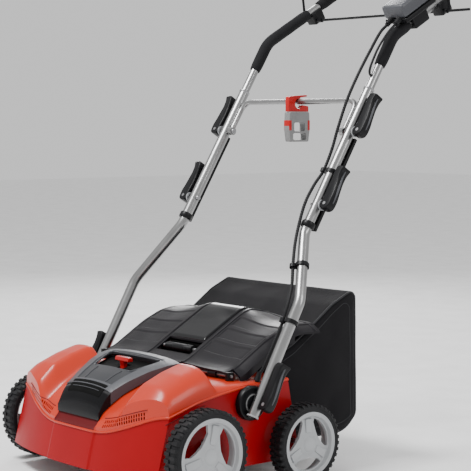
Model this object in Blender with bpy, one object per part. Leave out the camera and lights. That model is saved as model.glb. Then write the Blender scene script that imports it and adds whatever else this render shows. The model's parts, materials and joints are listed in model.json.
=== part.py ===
"""Electric lawn dethatcher with a catch bag, built as separate pieces.

Metres, +Z up. The machine's front faces -Y and its left side is +X.
The origin is on the ground, under the middle of the machine's outline.
"""
import math

import bmesh
import bpy
from mathutils import Matrix, Vector

# ---------------------------------------------------------------- dimensions
GAP = 0.0004                 # air left between pieces that touch

WHEEL_OUTER_X = 0.300        # outer face of the wheels
WHEEL_WIDTH = 0.038
FRONT_WHEEL_R = 0.089
REAR_WHEEL_R = 0.080
TYRE_DEPTH = 0.0155
FRONT_AXLE = Vector((0, -0.352, FRONT_WHEEL_R))
REAR_AXLE = Vector((0, -0.103, REAR_WHEEL_R))
AXLE_R = 0.006
CRANK_PIVOT = Vector((0, -0.330, 0.106))
AXLE_CLEARANCE = 0.0005

DECK_HALF = 0.245            # outer face of the deck's side walls
DECK_WALL = 0.004
DECK_FRONT = -0.477
DECK_BOTTOM = 0.045
DECK_REAR = -0.084
FRONT_BOW = 0.035            # how far the corners lie behind the front's middle

ROTOR = Vector((0, -0.228, 0.078))
BLADE_R = 0.068
BLADE_COUNT = 13
ROTOR_HALF = 0.196
MOTOR = Vector((0, -0.338, 0.157))
MOTOR_R = 0.040
DEPTH_AXIS = Vector((0, -0.338, 0.2075))
MOTOR_PULLEY_R = 0.0125
ROTOR_PULLEY_R = 0.025

COVER_BACK = -0.288
COVER_FRONT = -0.441
COVER_HALF_BACK = 0.122
COVER_HALF_FRONT = 0.070

FLAP_AXIS = Vector((0, -0.236, 0.218))
FLAP_REAR = -0.010
FLAP_SHEET = 0.004

BAG_HALF = 0.200
BAG_REAR = 0.116
BAG_BOTTOM = 0.066
BAG_WALL = 0.0035

PIVOT = Vector((0, -0.218, 0.169))
LOWER_X = 0.272              # middle of the lower handle tubes
UPPER_X = 0.200              # middle of the tubes above the high bend
TUBE_R = 0.0112
INNER_R = 0.0093
TUBE_WALL = 0.0014
LOW_BEND = Vector((LOWER_X, -0.109, 0.360))
HIGH_BEND = Vector((UPPER_X, -0.031, 0.487))
MID_SLOPE = Vector((0, 0.182, 0.2935)).normalized()   # run of the middle tubes
GRIP_BEND = Vector((UPPER_X, 0.220, 0.892))
TOP_BAR = Vector((UPPER_X, 0.4642, 1.0317))
MID_END = 0.345              # along the middle tube, from the high bend
CLAMP_LOW = 0.066
CLAMP_HIGH = 0.240
LEVER_WIDE = 0.021
BAIL_AXIS = Vector((0, 0.364, 0.950))
BAIL_R = 0.003
CABLE_R = 0.0034

SIDES = (("left", 1), ("right", -1))


# ------------------------------------------------------------------ materials
def material(name, colour, roughness, metallic=0.0):
    mat = bpy.data.materials.new(name)
    mat.use_nodes = True
    shader = mat.node_tree.nodes["Principled BSDF"]
    shader.inputs["Base Color"].default_value = (*colour, 1)
    shader.inputs["Roughness"].default_value = roughness
    shader.inputs["Metallic"].default_value = metallic
    mat.diffuse_color = (*colour, 1)
    return mat


def make_materials():
    return {
        "red": material("red_housing", (0.62, 0.03, 0.03), 0.32),
        "cover": material("cover_grey", (0.13, 0.13, 0.14), 0.35),
        "black": material("black_plastic", (0.02, 0.02, 0.022), 0.45),
        "flap": material("flap_grey", (0.035, 0.033, 0.037), 0.35),
        "rim": material("rim_grey", (0.60, 0.60, 0.59), 0.40),
        "tyre": material("tyre_black", (0.015, 0.015, 0.015), 0.70),
        "tube": material("zinc_tube", (0.62, 0.63, 0.64), 0.28, 1.0),
        "steel": material("steel", (0.45, 0.45, 0.46), 0.35, 1.0),
        "foam": material("foam_black", (0.015, 0.015, 0.016), 0.85),
        "bag": material("bag_fabric", (0.018, 0.017, 0.020), 0.90),
        "hook": material("hook_grey", (0.22, 0.22, 0.22), 0.45),
        "motor": material("motor_grey", (0.25, 0.25, 0.26), 0.50, 1.0),
    }


# -------------------------------------------------------------------- helpers
def clear_scene():
    for obj in list(bpy.data.objects):
        bpy.data.objects.remove(obj)


def finish(name, bm, mat, origin=(0, 0, 0)):
    """Turns a bmesh in world coordinates into an object with its own origin."""
    bmesh.ops.remove_doubles(bm, verts=bm.verts, dist=1e-6)
    bmesh.ops.recalc_face_normals(bm, faces=bm.faces)
    bmesh.ops.translate(bm, verts=bm.verts, vec=-Vector(origin))
    mesh = bpy.data.meshes.new(name)
    bm.to_mesh(mesh)
    bm.free()
    obj = bpy.data.objects.new(name, mesh)
    obj.location = origin
    obj.data.materials.append(MATERIALS[mat])
    bpy.context.scene.collection.objects.link(obj)
    return obj


def boolean(obj, bm, operation="DIFFERENCE", own_overlap=False):
    """Cuts a bmesh in world coordinates out of an object, or joins it on."""
    cutter = finish(obj.name + "_tool", bm, "steel")
    mod = obj.modifiers.new("bool", "BOOLEAN")
    mod.operation = operation
    mod.solver = "EXACT"
    mod.use_self = own_overlap
    mod.object = cutter
    bpy.context.view_layer.update()
    graph = bpy.context.evaluated_depsgraph_get()
    mesh = bpy.data.meshes.new_from_object(obj.evaluated_get(graph))
    own = obj.data.materials[0]
    obj.modifiers.remove(mod)
    obj.data = mesh
    mesh.materials.clear()
    mesh.materials.append(own)
    bpy.data.objects.remove(cutter)


def ring_faces(bm, a, b):
    count = len(a)
    for i in range(count):
        j = (i + 1) % count
        bm.faces.new((a[i], a[j], b[j], b[i]))


def sweep(path, radius, wall=None, sides=10, bm=None):
    """A round rod or, with a wall, an open tube along a list of points."""
    bm = bm or bmesh.new()
    points = [Vector(p) for p in path]
    radii = radius if isinstance(radius, (list, tuple)) else [radius] * len(points)
    tangent = (points[1] - points[0]).normalized()
    side = tangent.orthogonal().normalized()
    outer = []
    inner = []
    for i, point in enumerate(points):
        before = points[max(i - 1, 0)]
        after = points[min(i + 1, len(points) - 1)]
        tangent = (after - before).normalized()
        side = (side - tangent * side.dot(tangent)).normalized()
        up = tangent.cross(side)
        for rings, r in ((outer, radii[i]), (inner, radii[i] - (wall or 0))):
            ring = []
            for k in range(sides):
                angle = math.tau * k / sides
                offset = side * math.cos(angle) + up * math.sin(angle)
                ring.append(point + offset * r)
            rings.append(ring)
    outer = [[bm.verts.new(co) for co in ring] for ring in outer]
    for a, b in zip(outer, outer[1:]):
        ring_faces(bm, a, b)
    if wall is None:
        bm.faces.new(outer[0][::-1])
        bm.faces.new(outer[-1])
        return bm
    inner = [[bm.verts.new(co) for co in ring] for ring in inner]
    for a, b in zip(inner, inner[1:]):
        ring_faces(bm, b, a)
    ring_faces(bm, inner[0], outer[0])
    ring_faces(bm, outer[-1], inner[-1])
    return bm


def rounded(points, radius, steps=3):
    """The polyline with each inner corner replaced by an arc."""
    points = [Vector(p) for p in points]
    radii = radius if isinstance(radius, (list, tuple)) else [radius] * (len(points) - 2)
    out = [points[0]]
    for i, corner in enumerate(points[1:-1]):
        into = (corner - points[i]).normalized()
        away = (points[i + 2] - corner).normalized()
        turn = into.angle(away)
        back = radii[i] * math.tan(turn / 2)
        start = corner - into * back
        normal = (away - into * into.dot(away)).normalized()
        centre = start + normal * radii[i]
        for k in range(steps + 1):
            angle = turn * k / steps
            arm = into * math.sin(angle) - normal * math.cos(angle)
            out.append(centre + arm * radii[i])
    out.append(points[-1])
    return out


def lathe(profile, centre, segments=40, closed=True, flip=1):
    """Turns (x, r) points about the X axis through a centre; flip mirrors X."""
    bm = bmesh.new()
    rings = []
    for k in range(segments):
        angle = math.tau * k / segments
        ring = []
        for x, r in profile:
            co = (flip * x, centre[1] + r * math.cos(angle), centre[2] + r * math.sin(angle))
            ring.append(bm.verts.new(co))
        rings.append(ring)
    count = len(profile)
    last = count if closed else count - 1
    for k in range(segments):
        a = rings[k]
        b = rings[(k + 1) % segments]
        for i in range(last):
            j = (i + 1) % count
            bm.faces.new((a[i], a[j], b[j], b[i]))
    bmesh.ops.remove_doubles(bm, verts=bm.verts, dist=1e-7)
    bmesh.ops.dissolve_degenerate(bm, edges=bm.edges, dist=1e-8)
    return bm


def prism(points, axis, start, end, bevel=0.0):
    """Extrudes an outline along one axis; the points give the other two."""
    bm = bmesh.new()

    def place(a, b, depth):
        co = [a, b]
        co.insert("xyz".index(axis), depth)
        return bm.verts.new(co)

    low = [place(a, b, start) for a, b in points]
    high = [place(a, b, end) for a, b in points]
    bm.faces.new(low[::-1])
    bm.faces.new(high)
    ring_faces(bm, low, high)
    bmesh.ops.recalc_face_normals(bm, faces=bm.faces)
    if bevel:
        bmesh.ops.bevel(bm, geom=bm.edges[:], offset=bevel, segments=1, affect="EDGES")
    return bm


def box(low, high, bevel=0.0):
    outline = [(low[0], low[1]), (high[0], low[1]), (high[0], high[1]), (low[0], high[1])]
    return prism(outline, "z", low[2], high[2], bevel)


def frame_to_world(bm, origin, x_axis, y_axis, z_axis):
    matrix = Matrix((x_axis, y_axis, z_axis)).transposed().to_4x4()
    matrix.translation = origin
    bmesh.ops.transform(bm, matrix=matrix, verts=bm.verts)
    return bm


def slab(nu, nv, top, bottom):
    """A closed solid between two surfaces over the same (u, v) grid."""
    bm = bmesh.new()
    us = nu if isinstance(nu, (list, tuple)) else [-1 + 2 * i / nu for i in range(nu + 1)]
    vs = nv if isinstance(nv, (list, tuple)) else [i / nv for i in range(nv + 1)]
    up = [[bm.verts.new(top(u, v)) for v in vs] for u in us]
    down = [[bm.verts.new(bottom(u, v)) for v in vs] for u in us]
    for i in range(len(us) - 1):
        for j in range(len(vs) - 1):
            bm.faces.new((up[i][j], up[i + 1][j], up[i + 1][j + 1], up[i][j + 1]))
            bm.faces.new((down[i][j], down[i][j + 1], down[i + 1][j + 1], down[i + 1][j]))
    for i in range(len(us) - 1):
        bm.faces.new((up[i + 1][0], up[i][0], down[i][0], down[i + 1][0]))
        bm.faces.new((up[i][-1], up[i + 1][-1], down[i + 1][-1], down[i][-1]))
    for j in range(len(vs) - 1):
        bm.faces.new((up[0][j], up[0][j + 1], down[0][j + 1], down[0][j]))
        bm.faces.new((up[-1][j + 1], up[-1][j], down[-1][j], down[-1][j + 1]))
    return bm


def curve_value(points, at):
    """Linear reading of a list of (position, value) pairs."""
    if at <= points[0][0]:
        return points[0][1]
    for (a, va), (b, vb) in zip(points, points[1:]):
        if at <= b:
            return va + (vb - va) * (at - a) / (b - a)
    return points[-1][1]


def smooth(t):
    t = min(max(t, 0.0), 1.0)
    return t * t * (3 - 2 * t)


# -------------------------------------------------------------------- housing
# Heights along the machine, front to rear, as (y, z).
PARTING = [(-0.443, 0.153), (-0.385, 0.170), (-0.342, 0.183), (-0.293, 0.192),
           (-0.231, 0.200), (-0.118, 0.203)]
CREST = [(-0.456, 0.150), (-0.440, 0.184), (-0.405, 0.215), (-0.360, 0.233),
         (-0.316, 0.245), (-0.306, 0.243), (-0.298, 0.214), (-0.220, 0.208),
         (-0.118, 0.207)]
TROUGH = [(-0.456, 0.122), (-0.444, 0.146), (-0.400, 0.180), (-0.350, 0.207),
          (-0.312, 0.219), (-0.290, 0.216), (-0.250, 0.208), (-0.118, 0.206)]


def parting(x, y):
    """Height of the joint between the lower deck and the upper housing."""
    low = 0.037 * (1 - smooth((abs(x) - 0.070) / 0.175))
    return curve_value(PARTING, y) - low * smooth((-0.400 - y) / 0.035)


def front_y(u, z):
    """Front of the housing: bowed across, and leaning back with height."""
    lean = 0.26 * (z - DECK_BOTTOM)
    return DECK_FRONT + FRONT_BOW * abs(u) ** 2.5 + lean


def deck_point(u, v, height, inset=0.0):
    z = height
    rear = DECK_REAR - 0.20 * (z - DECK_BOTTOM)
    front = front_y(u, z) + inset
    return Vector((u * (DECK_HALF - inset), front + (rear - inset * 0.2 - front) * v, z))


def deck_top(u, v, inset=0.0, drop=0.0):
    point = deck_point(u, v, 0.15, inset)
    for _ in range(4):
        point = deck_point(u, v, parting(point.x, point.y) - drop, inset)
    return point


def housing_height(x, y):
    crest = curve_value(CREST, y)
    trough = curve_value(TROUGH, y)
    edge = parting(x, y) + 0.004
    side = abs(x)
    if side < 0.185:
        return trough + (crest - trough) * smooth((side - 0.112) / 0.050)
    fall = min((side - 0.185) / (DECK_HALF - 0.185), 1.0)
    return edge + (crest - edge) * math.sqrt(max(1 - fall ** 2.2, 0.0))


def housing_top(u, v):
    base = deck_top(u, v)
    height = max(housing_height(base.x, base.y), parting(base.x, base.y) + 0.004)
    return Vector((base.x, base.y, height))


def housing_under(u, v):
    point = housing_top(u, v)
    joint = parting(point.x, point.y) + 2 * GAP
    if abs(u) > 0.985 or v < 0.01 or v > 0.985:
        return Vector((point.x, point.y, joint))
    return Vector((point.x, point.y, max(joint, point.z - 0.0035)))


HALF_GRID = [0.25, 0.44, 0.52, 0.60, 0.68, 0.77, 0.86, 0.93, 0.97, 1]
HOUSING_US = [-u for u in reversed(HALF_GRID)] + [0] + HALF_GRID
HOUSING_VS = [0, 0.02, 0.05, 0.10, 0.17, 0.26, 0.36, 0.42, 0.45, 0.48, 0.52, 0.70, 1]


def build_lower_deck():
    bm = slab(HOUSING_US, HOUSING_VS, deck_top, lambda u, v: deck_point(u, v, DECK_BOTTOM))
    deck = finish("lower_deck", bm, "red")
    hollow_v = [0, 0.12, 0.25, 0.5, 1]
    hollow = slab(10, hollow_v,
                  lambda u, v: deck_top(u, v * 0.985, DECK_WALL, 0.007),
                  lambda u, v: deck_point(u, v * 0.985, DECK_BOTTOM - 0.01, DECK_WALL))
    boolean(deck, hollow)
    boolean(deck, box((-0.185, -0.16, 0.052), (0.185, -0.05, 0.178)))
    boolean(deck, box((-0.112, -0.386, 0.13), (0.112, -0.296, 0.25)))
    for _, sign in SIDES:
        boss = on_axis(ROTOR, sign * 0.2300, sign * 0.2420)
        boolean(deck, sweep(boss, 0.0150, sides=24), "UNION")
    boolean(deck, sweep(on_axis(ROTOR, -0.2403, 0.2403), 0.0080, sides=18))
    for centre in (CRANK_PIVOT, REAR_AXLE):
        hole = [Vector((x, centre.y, centre.z)) for x in (-0.26, 0.26)]
        boolean(deck, sweep(hole, AXLE_R + AXLE_CLEARANCE, sides=20))
    for _, sign in SIDES:
        stud = [Vector((x * sign, PIVOT.y, PIVOT.z)) for x in (0.23, 0.26)]
        boolean(deck, sweep(stud, 0.0048, sides=16))
    return deck


def build_upper_housing():
    bm = slab(HOUSING_US, HOUSING_VS, housing_top, housing_under)
    upper = finish("upper_housing", bm, "red")
    for _, sign in SIDES:
        ear = box((sign * 0.209 - 0.004, FLAP_AXIS.y - 0.008, 0.205),
                  (sign * 0.209 + 0.004, FLAP_AXIS.y + 0.008, 0.2255))
        boolean(upper, ear, "UNION")
    pin = [Vector((x, FLAP_AXIS.y, FLAP_AXIS.z)) for x in (-0.22, 0.22)]
    boolean(upper, sweep(pin, 0.0034, sides=16))
    slot = box((-0.012, -0.352, 0.19), (0.012, -0.322, 0.24))
    boolean(upper, slot)
    boolean(upper, sweep(on_axis(DEPTH_AXIS, -0.0170, 0.0170), 0.0026))
    bore = [Vector((0.2375, -0.1915, 0.2040)), Vector((0.2405, -0.1855, 0.2258))]
    boolean(upper, sweep(bore, 0.0041, sides=16))
    return upper


# ---------------------------------------------------------------- motor cover
COVER_EDGE = [(-0.450, 0.150), (-0.440, 0.172), (-0.424, 0.192), (-0.390, 0.211),
              (-0.348, 0.229), (-0.310, 0.239), (-0.288, 0.241)]


def cover_half(y):
    share = (y - COVER_FRONT) / (COVER_BACK - COVER_FRONT)
    return COVER_HALF_FRONT + (COVER_HALF_BACK - COVER_HALF_FRONT) * smooth(share * 0.8 + 0.1)


def cover_point(u, y):
    height = curve_value(COVER_EDGE, y) + 0.006 * (1 - u * u) - 0.003 * abs(u) ** 6
    return Vector((u * cover_half(y), y, height))


def cover_under(u, y, edge):
    point = cover_point(u, y)
    floor = max(housing_height(point.x, point.y), parting(point.x, point.y) + 0.004)
    seat = floor + 0.0030
    if edge:
        return Vector((point.x, point.y, min(seat, point.z - 0.001)))
    return Vector((point.x, point.y, max(seat, point.z - 0.0035)))


def build_motor_cover():
    start = -0.4235
    us = [-1, -0.9, -0.72, -0.5, -0.25, 0, 0.25, 0.5, 0.72, 0.9, 1]
    vs = [0, 0.04, 0.15, 0.3, 0.45, 0.6, 0.75, 0.9, 0.96, 1]

    def at(v):
        return start + (COVER_BACK - start) * v

    def under(u, v):
        return cover_under(u, at(v), abs(u) > 0.95 or v < 0.02 or v > 0.98)

    cover = finish("motor_cover", slab(us, vs, lambda u, v: cover_point(u, at(v)), under), "cover")
    hole = [(-0.062, -0.366), (0.062, -0.366), (0.088, -0.306), (-0.088, -0.306)]
    boolean(cover, prism(hole, "z", 0.18, 0.27))
    return cover


def build_handle_well():
    """The dark tray that closes the carry opening from below."""
    def surface(drop):
        return lambda u, v: Vector((u * (0.068 + 0.024 * v), -0.371 + 0.069 * v,
                                    0.2150 + 0.015 * v - drop))
    well = finish("handle_well", slab(2, 2, surface(0), surface(0.003)), "black")
    boolean(well, box((-0.010, -0.352, 0.21), (0.010, -0.324, 0.24)))
    return well


def build_cover_lip():
    us = [-1, -0.6, -0.2, 0.2, 0.6, 1]
    vs = [0, 0.25, 0.5, 0.75, 1]

    def at(v):
        return -0.4495 + (-0.4240 + 0.4495) * v

    def under(u, v):
        point = cover_point(u, at(v))
        seat = max(housing_height(point.x, point.y), parting(point.x, point.y) + 0.004)
        return Vector((point.x, point.y, min(seat + 0.0016, point.z - 0.002)))

    return finish("cover_lip", slab(us, vs, lambda u, v: cover_point(u, at(v)), under), "black")


def build_depth_lever():
    """Red three-position lever that stands in the carry opening."""
    outline = [(-0.3435, 0.2050), (-0.3325, 0.2050), (-0.3345, 0.2240), (-0.3310, 0.2340),
               (-0.3440, 0.2340), (-0.3420, 0.2240)]
    lever = finish("depth_lever", prism(outline, "x", -0.0065, 0.0065, 0.001), "red",
                   DEPTH_AXIS)
    top = box((-0.022, -0.3445, 0.2335), (0.022, -0.3300, 0.2415), 0.002)
    boolean(lever, top, "UNION")
    boolean(lever, sweep(on_axis(DEPTH_AXIS, -0.0160, 0.0160), 0.0020), "UNION")
    return lever


# --------------------------------------------------------------- power train
def on_axis(axis, *xs):
    return [Vector((x, axis.y, axis.z)) for x in xs]


def build_motor():
    profile = [(-0.100, 0), (-0.100, 0.016), (-0.094, 0.020), (-0.092, 0.036),
               (-0.086, MOTOR_R), (0.086, MOTOR_R), (0.092, 0.036), (0.094, 0.018),
               (0.104, 0.016), (0.104, 0)]
    motor = finish("electric_motor", lathe(profile, MOTOR, 20, closed=False), "motor")
    boolean(motor, sweep(on_axis(MOTOR, -0.11, -0.05), 0.0055, sides=16))
    return motor


def build_motor_pulley():
    profile = [(-0.228, 0), (-0.228, MOTOR_PULLEY_R), (-0.225, MOTOR_PULLEY_R),
               (-0.2245, MOTOR_PULLEY_R - 0.002), (-0.2195, MOTOR_PULLEY_R - 0.002),
               (-0.219, MOTOR_PULLEY_R), (-0.216, MOTOR_PULLEY_R), (-0.216, 0.005),
               (-0.055, 0.005), (-0.055, 0)]
    bm = lathe(profile, MOTOR, 20, closed=False)
    return finish("motor_pulley", bm, "steel", MOTOR)


def build_rotor():
    shaft = sweep(on_axis(ROTOR, -0.2385, 0.2385), 0.0075, sides=12)
    rotor = finish("blade_rotor", shaft, "steel", ROTOR)
    blades = bmesh.new()
    tip = [(0.0115, 0.019), (0.0075, 0.054), (0.0095, BLADE_R), (-0.0035, 0.058), (-0.0115, 0.019)]
    for i in range(BLADE_COUNT):
        x = -ROTOR_HALF + 0.006 + i * (2 * ROTOR_HALF - 0.012) / (BLADE_COUNT - 1)
        turn = i * math.radians(36)
        outline = []
        for half in (0, 1):
            for across, along in tip:
                angle = turn + half * math.pi
                y = across * math.cos(angle) - along * math.sin(angle)
                z = across * math.sin(angle) + along * math.cos(angle)
                outline.append((ROTOR.y + y, ROTOR.z + z))
        plate = prism(outline[::-1], "x", x - 0.001, x + 0.001)
        mesh = bpy.data.meshes.new("plate")
        plate.to_mesh(mesh)
        blades.from_mesh(mesh)
        bpy.data.meshes.remove(mesh)
        plate.free()
    boolean(rotor, blades, "UNION")
    r = ROTOR_PULLEY_R
    groove = [(-0.2275, 0), (-0.2275, r), (-0.2250, r), (-0.2245, r - 0.002),
              (-0.2195, r - 0.002), (-0.2190, r), (-0.2160, r), (-0.2160, 0)]
    boolean(rotor, lathe(groove, ROTOR, 20, closed=False), "UNION")
    return rotor


def build_belt():
    """A closed flat belt around both pulleys, 0.4 mm clear of them."""
    run = Vector((MOTOR.y - ROTOR.y, MOTOR.z - ROTOR.z))
    length = run.length
    run.normalize()
    small = MOTOR_PULLEY_R - 0.002 + GAP
    big = ROTOR_PULLEY_R - 0.002 + GAP
    lean = math.acos((big - small) / length)
    base = math.atan2(run.y, run.x)

    def loop(extra):
        points = []
        for k in range(17):
            angle = base + lean + (math.tau - 2 * lean) * k / 16
            points.append((ROTOR.y + (big + extra) * math.cos(angle),
                           ROTOR.z + (big + extra) * math.sin(angle)))
        for k in range(9):
            angle = base - lean + 2 * lean * k / 8
            points.append((MOTOR.y + (small + extra) * math.cos(angle),
                           MOTOR.z + (small + extra) * math.sin(angle)))
        return points

    bm = bmesh.new()
    rings = []
    for x, extra in ((-0.2242, 0), (-0.2242, 0.0018), (-0.2198, 0.0018), (-0.2198, 0)):
        rings.append([bm.verts.new((x, y, z)) for y, z in loop(extra)])
    for a, b in zip(rings, rings[1:] + rings[:1]):
        ring_faces(bm, a, b)
    return finish("drive_belt", bm, "black")


# ------------------------------------------------------------ axles and wheels
def build_axles():
    stub = WHEEL_OUTER_X - 0.008
    arm = 0.2522
    corners = [(-stub, FRONT_AXLE), (-arm, FRONT_AXLE), (-arm, CRANK_PIVOT),
               (arm, CRANK_PIVOT), (arm, FRONT_AXLE), (stub, FRONT_AXLE)]
    path = rounded([Vector((x, c.y, c.z)) for x, c in corners], 0.0058, 3)
    finish("front_axle", sweep(path, 0.005, sides=10), "steel", CRANK_PIVOT)
    bar = on_axis(REAR_AXLE, -stub, -0.2, 0.2, stub)
    finish("rear_axle", sweep(bar, 0.005, sides=12), "steel")


def build_rim(name, centre, radius, sign, turn):
    """Three-spoke wheel disc with a blind bore, turned about its axle."""
    edge = radius - TYRE_DEPTH
    out = WHEEL_OUTER_X
    back = out - WHEEL_WIDTH + 0.003
    profile = [(out - 0.0025, 0), (out - 0.003, 0.014), (out - 0.007, 0.021),
               (out - 0.0095, edge - 0.0125), (out - 0.0015, edge - 0.0065),
               (out, edge - GAP), (back, edge - GAP), (back, edge - 0.005),
               (out - 0.016, edge - 0.008), (out - 0.015, 0.017), (back + 0.001, 0.013),
               (back + 0.001, 0.0055), (out - 0.0075, 0.0055), (out - 0.0075, 0)]
    bm = lathe(profile, centre, 24, closed=False, flip=sign)
    rim = finish(name, bm, "rim", centre)
    reach = edge - 0.0115
    for k in range(3):
        middle = math.radians(turn + 60 + 120 * k)
        outline = []
        for i in range(5):
            angle = middle + math.radians(-41 + 82 * i / 4)
            outline.append((reach, angle))
        outline += [(0.036, middle + math.radians(33)), (0.027, middle),
                    (0.036, middle - math.radians(33))]
        points = [(centre.y + r * math.cos(a), centre.z + r * math.sin(a)) for r, a in outline]
        low, high = sorted((sign * (back - 0.01), sign * (out + 0.01)))
        boolean(rim, prism(points, "x", low, high))
    return rim


def build_tyre(name, centre, radius, sign):
    inner = radius - TYRE_DEPTH
    out = WHEEL_OUTER_X
    back = out - WHEEL_WIDTH
    profile = [(out - 0.0008, inner), (out - 0.0008, radius - 0.006),
               (out - 0.0050, radius - 0.0010), (out - 0.0110, radius),
               (back + 0.0110, radius), (back + 0.0050, radius - 0.0010),
               (back, radius - 0.006), (back, inner)]
    return finish(name, lathe(profile, centre, 32, flip=sign), "tyre", centre)


def build_wheels():
    for end, axle, radius, turn in (("front", FRONT_AXLE, FRONT_WHEEL_R, 75),
                                    ("rear", REAR_AXLE, REAR_WHEEL_R, 90)):
        for side, sign in SIDES:
            tag = "%s_%s" % (end, side)
            build_rim("rim_" + tag, axle, radius, sign, turn)
            build_tyre("tyre_" + tag, axle, radius, sign)


# ------------------------------------------------------------------ rear flap
FLAP_MIDDLE = [(-0.242, 0.228), (-0.215, 0.240), (-0.172, 0.266), (-0.112, 0.300),
               (-0.075, 0.320), (-0.060, 0.3225), (-0.010, 0.3115)]
FLAP_SIDE = [(-0.242, 0.226), (-0.215, 0.234), (-0.164, 0.265), (-0.135, 0.282),
             (-0.090, 0.301), (-0.060, 0.3055), (-0.010, 0.304)]
RECESS = (-0.214, -0.176)
RECESS_HALF = 0.056


def flap_height(x, y):
    side = abs(x)
    share = smooth((side - 0.058) / 0.10)
    height = curve_value(FLAP_MIDDLE, y) * (1 - share) + curve_value(FLAP_SIDE, y) * share
    height -= 0.016 * max((side - 0.185) / 0.040, 0) ** 2
    if side < 0.0565 and y > RECESS[1] + 0.001:
        height += 0.003
    return height


def build_rear_flap():
    us = [-0.225, -0.218, -0.205, -0.185, -0.150, -0.110, -0.075, -0.0575, -0.0560, -0.030]
    us = us + [0] + [-u for u in reversed(us)]
    vs = [-0.242, -0.228, RECESS[0] - 0.0005, -0.195, RECESS[1] + 0.0005, -0.1735,
          -0.155, -0.135, -0.112, -0.090, -0.075, -0.060, -0.035, FLAP_REAR]

    def top(x, y):
        high = flap_height(x, y)
        if y < -0.105:
            high = max(high, housing_height(x, y) + 0.0040)
        return Vector((x, y, high))

    def under(x, y):
        drop = FLAP_SHEET
        if abs(x) > 0.2245 and -0.225 < y < -0.08:
            drop += 0.012
        low = flap_height(x, y) - drop
        if y < -0.105:
            low = max(low, housing_height(x, y) + 0.0016)
        return Vector((x, y, low))

    flap = finish("rear_flap", slab(us, vs, top, under), "flap", FLAP_AXIS)
    low = (-RECESS_HALF, RECESS[0], 0.20)
    high = (RECESS_HALF, RECESS[1], 0.30)
    boolean(flap, box(low, high))
    for _, sign in SIDES:
        inner, outer = sorted((sign * 0.2035, sign * 0.2300))
        boolean(flap, box((inner, -0.246, 0.190), (outer, -0.2222, 0.245)))
    for x in (-0.16, 0.16):
        lug = sweep(on_axis(FLAP_AXIS, x - 0.012, x + 0.012), 0.0068, sides=16)
        boolean(flap, lug, "UNION")
    boolean(flap, sweep(on_axis(FLAP_AXIS, -0.3, 0.3), 0.0033, sides=16))
    return flap


def build_flap_tray():
    """Pan under the finger recess, moving with the flap."""
    half = RECESS_HALF - GAP
    front = RECESS[0] + GAP
    back = RECESS[1] - GAP
    outline = [(front, 0.2310), (front, 0.2220), (back + 0.002, 0.2300), (back, 0.2340),
               (back, 0.2560), (back - 0.002, 0.2560), (back - 0.003, 0.2345),
               (front + 0.002, 0.2245), (front + 0.002, 0.2310)]
    return finish("flap_recess_tray", prism(outline, "x", -half, half), "black", FLAP_AXIS)


def build_flap_grip():
    """Roller on two thin journals across the finger recess."""
    points = [Vector((x, -0.193, 0.2465)) for x in (-0.0550, -0.043, -0.043, 0.043, 0.043, 0.0550)]
    radii = [0.0040, 0.0040, 0.0092, 0.0092, 0.0040, 0.0040]
    return finish("flap_grip", stepped_rod(points, radii, 20), "black", FLAP_AXIS)


def build_flap_pin():
    points = on_axis(FLAP_AXIS, -0.2165, 0.2165)
    return finish("flap_pin", sweep(points, 0.0029, sides=14), "steel")


# ------------------------------------------------------------------ catch bag
def bag_outline(inset):
    """Side outline of the bag: open mouth at the front, round rear corners."""
    i = inset
    return [(-0.0720 - i * 0.2, BAG_BOTTOM + i), (0.070, BAG_BOTTOM + i),
            (0.104 - i * 0.7, 0.080 + i * 0.7), (BAG_REAR + 0.004 - i, 0.112),
            (BAG_REAR + 0.002 - i, 0.230), (BAG_REAR - i, 0.358 - i * 0.6),
            (BAG_REAR - 0.010 - i * 0.6, 0.3655 - i), (0.050, 0.3370 - i),
            (0.000, 0.3030 - i), (-0.060, 0.2640 - i), (-0.1050, 0.2440 - i)]


def build_bag():
    bag = finish("catch_bag", prism(bag_outline(0), "x", -BAG_HALF, BAG_HALF, 0.0), "bag")
    inner = bag_outline(BAG_WALL)
    inner[0] = (-0.095, BAG_BOTTOM + BAG_WALL)
    inner[-1] = (-0.130, 0.2325)
    half = BAG_HALF - BAG_WALL
    boolean(bag, prism(inner, "x", -half, half))
    return bag


# --------------------------------------------------------------------- handle
LOW_SLOPE = (LOW_BEND - Vector((LOWER_X, PIVOT.y, PIVOT.z))).normalized()
MID_BACK = Vector((0, MID_SLOPE.z, -MID_SLOPE.y))
GRIP_SLOPE = (TOP_BAR - GRIP_BEND).normalized()


def mirror(point, sign):
    return Vector((point.x * sign, point.y, point.z))


def mid_point(sign, along, outboard=0.0, back=0.0):
    """A point along a middle tube, from the high bend."""
    point = HIGH_BEND + MID_SLOPE * along + MID_BACK * back
    return Vector(((point.x + outboard) * sign, point.y, point.z))


def slot_along(sign, start, end, width):
    """A cutter through a middle tube, along X, between two distances."""
    half = (end - start) / 2
    bm = box((-0.03, -width / 2, -half), (0.03, width / 2, half))
    axes = (Vector((1, 0, 0)), -MID_BACK, MID_SLOPE)
    return frame_to_world(bm, mid_point(sign, (start + end) / 2), *axes)


def build_lower_tubes():
    for side, sign in SIDES:
        foot = Vector((LOWER_X, PIVOT.y, PIVOT.z)) - LOW_SLOPE * 0.0275
        bends = [mirror(p, sign) for p in (foot, LOW_BEND, HIGH_BEND)]
        path = rounded(bends + [mid_point(sign, 0.0205)], [0.060, 0.044], 3)
        radii = [TUBE_R] * len(path)
        path += [mid_point(sign, 0.0225), mid_point(sign, 0.075), mid_point(sign, 0.130)]
        radii += [INNER_R] * 3
        tube = finish("lower_tube_" + side, sweep(path, radii, TUBE_WALL), "tube", PIVOT)
        hole = [Vector((x * sign, PIVOT.y, PIVOT.z)) for x in (0.25, 0.30)]
        boolean(tube, sweep(hole, 0.0046, sides=16))
        boolean(tube, slot_along(sign, CLAMP_LOW - 0.0040, CLAMP_LOW + 0.056, 0.0068))


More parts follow.
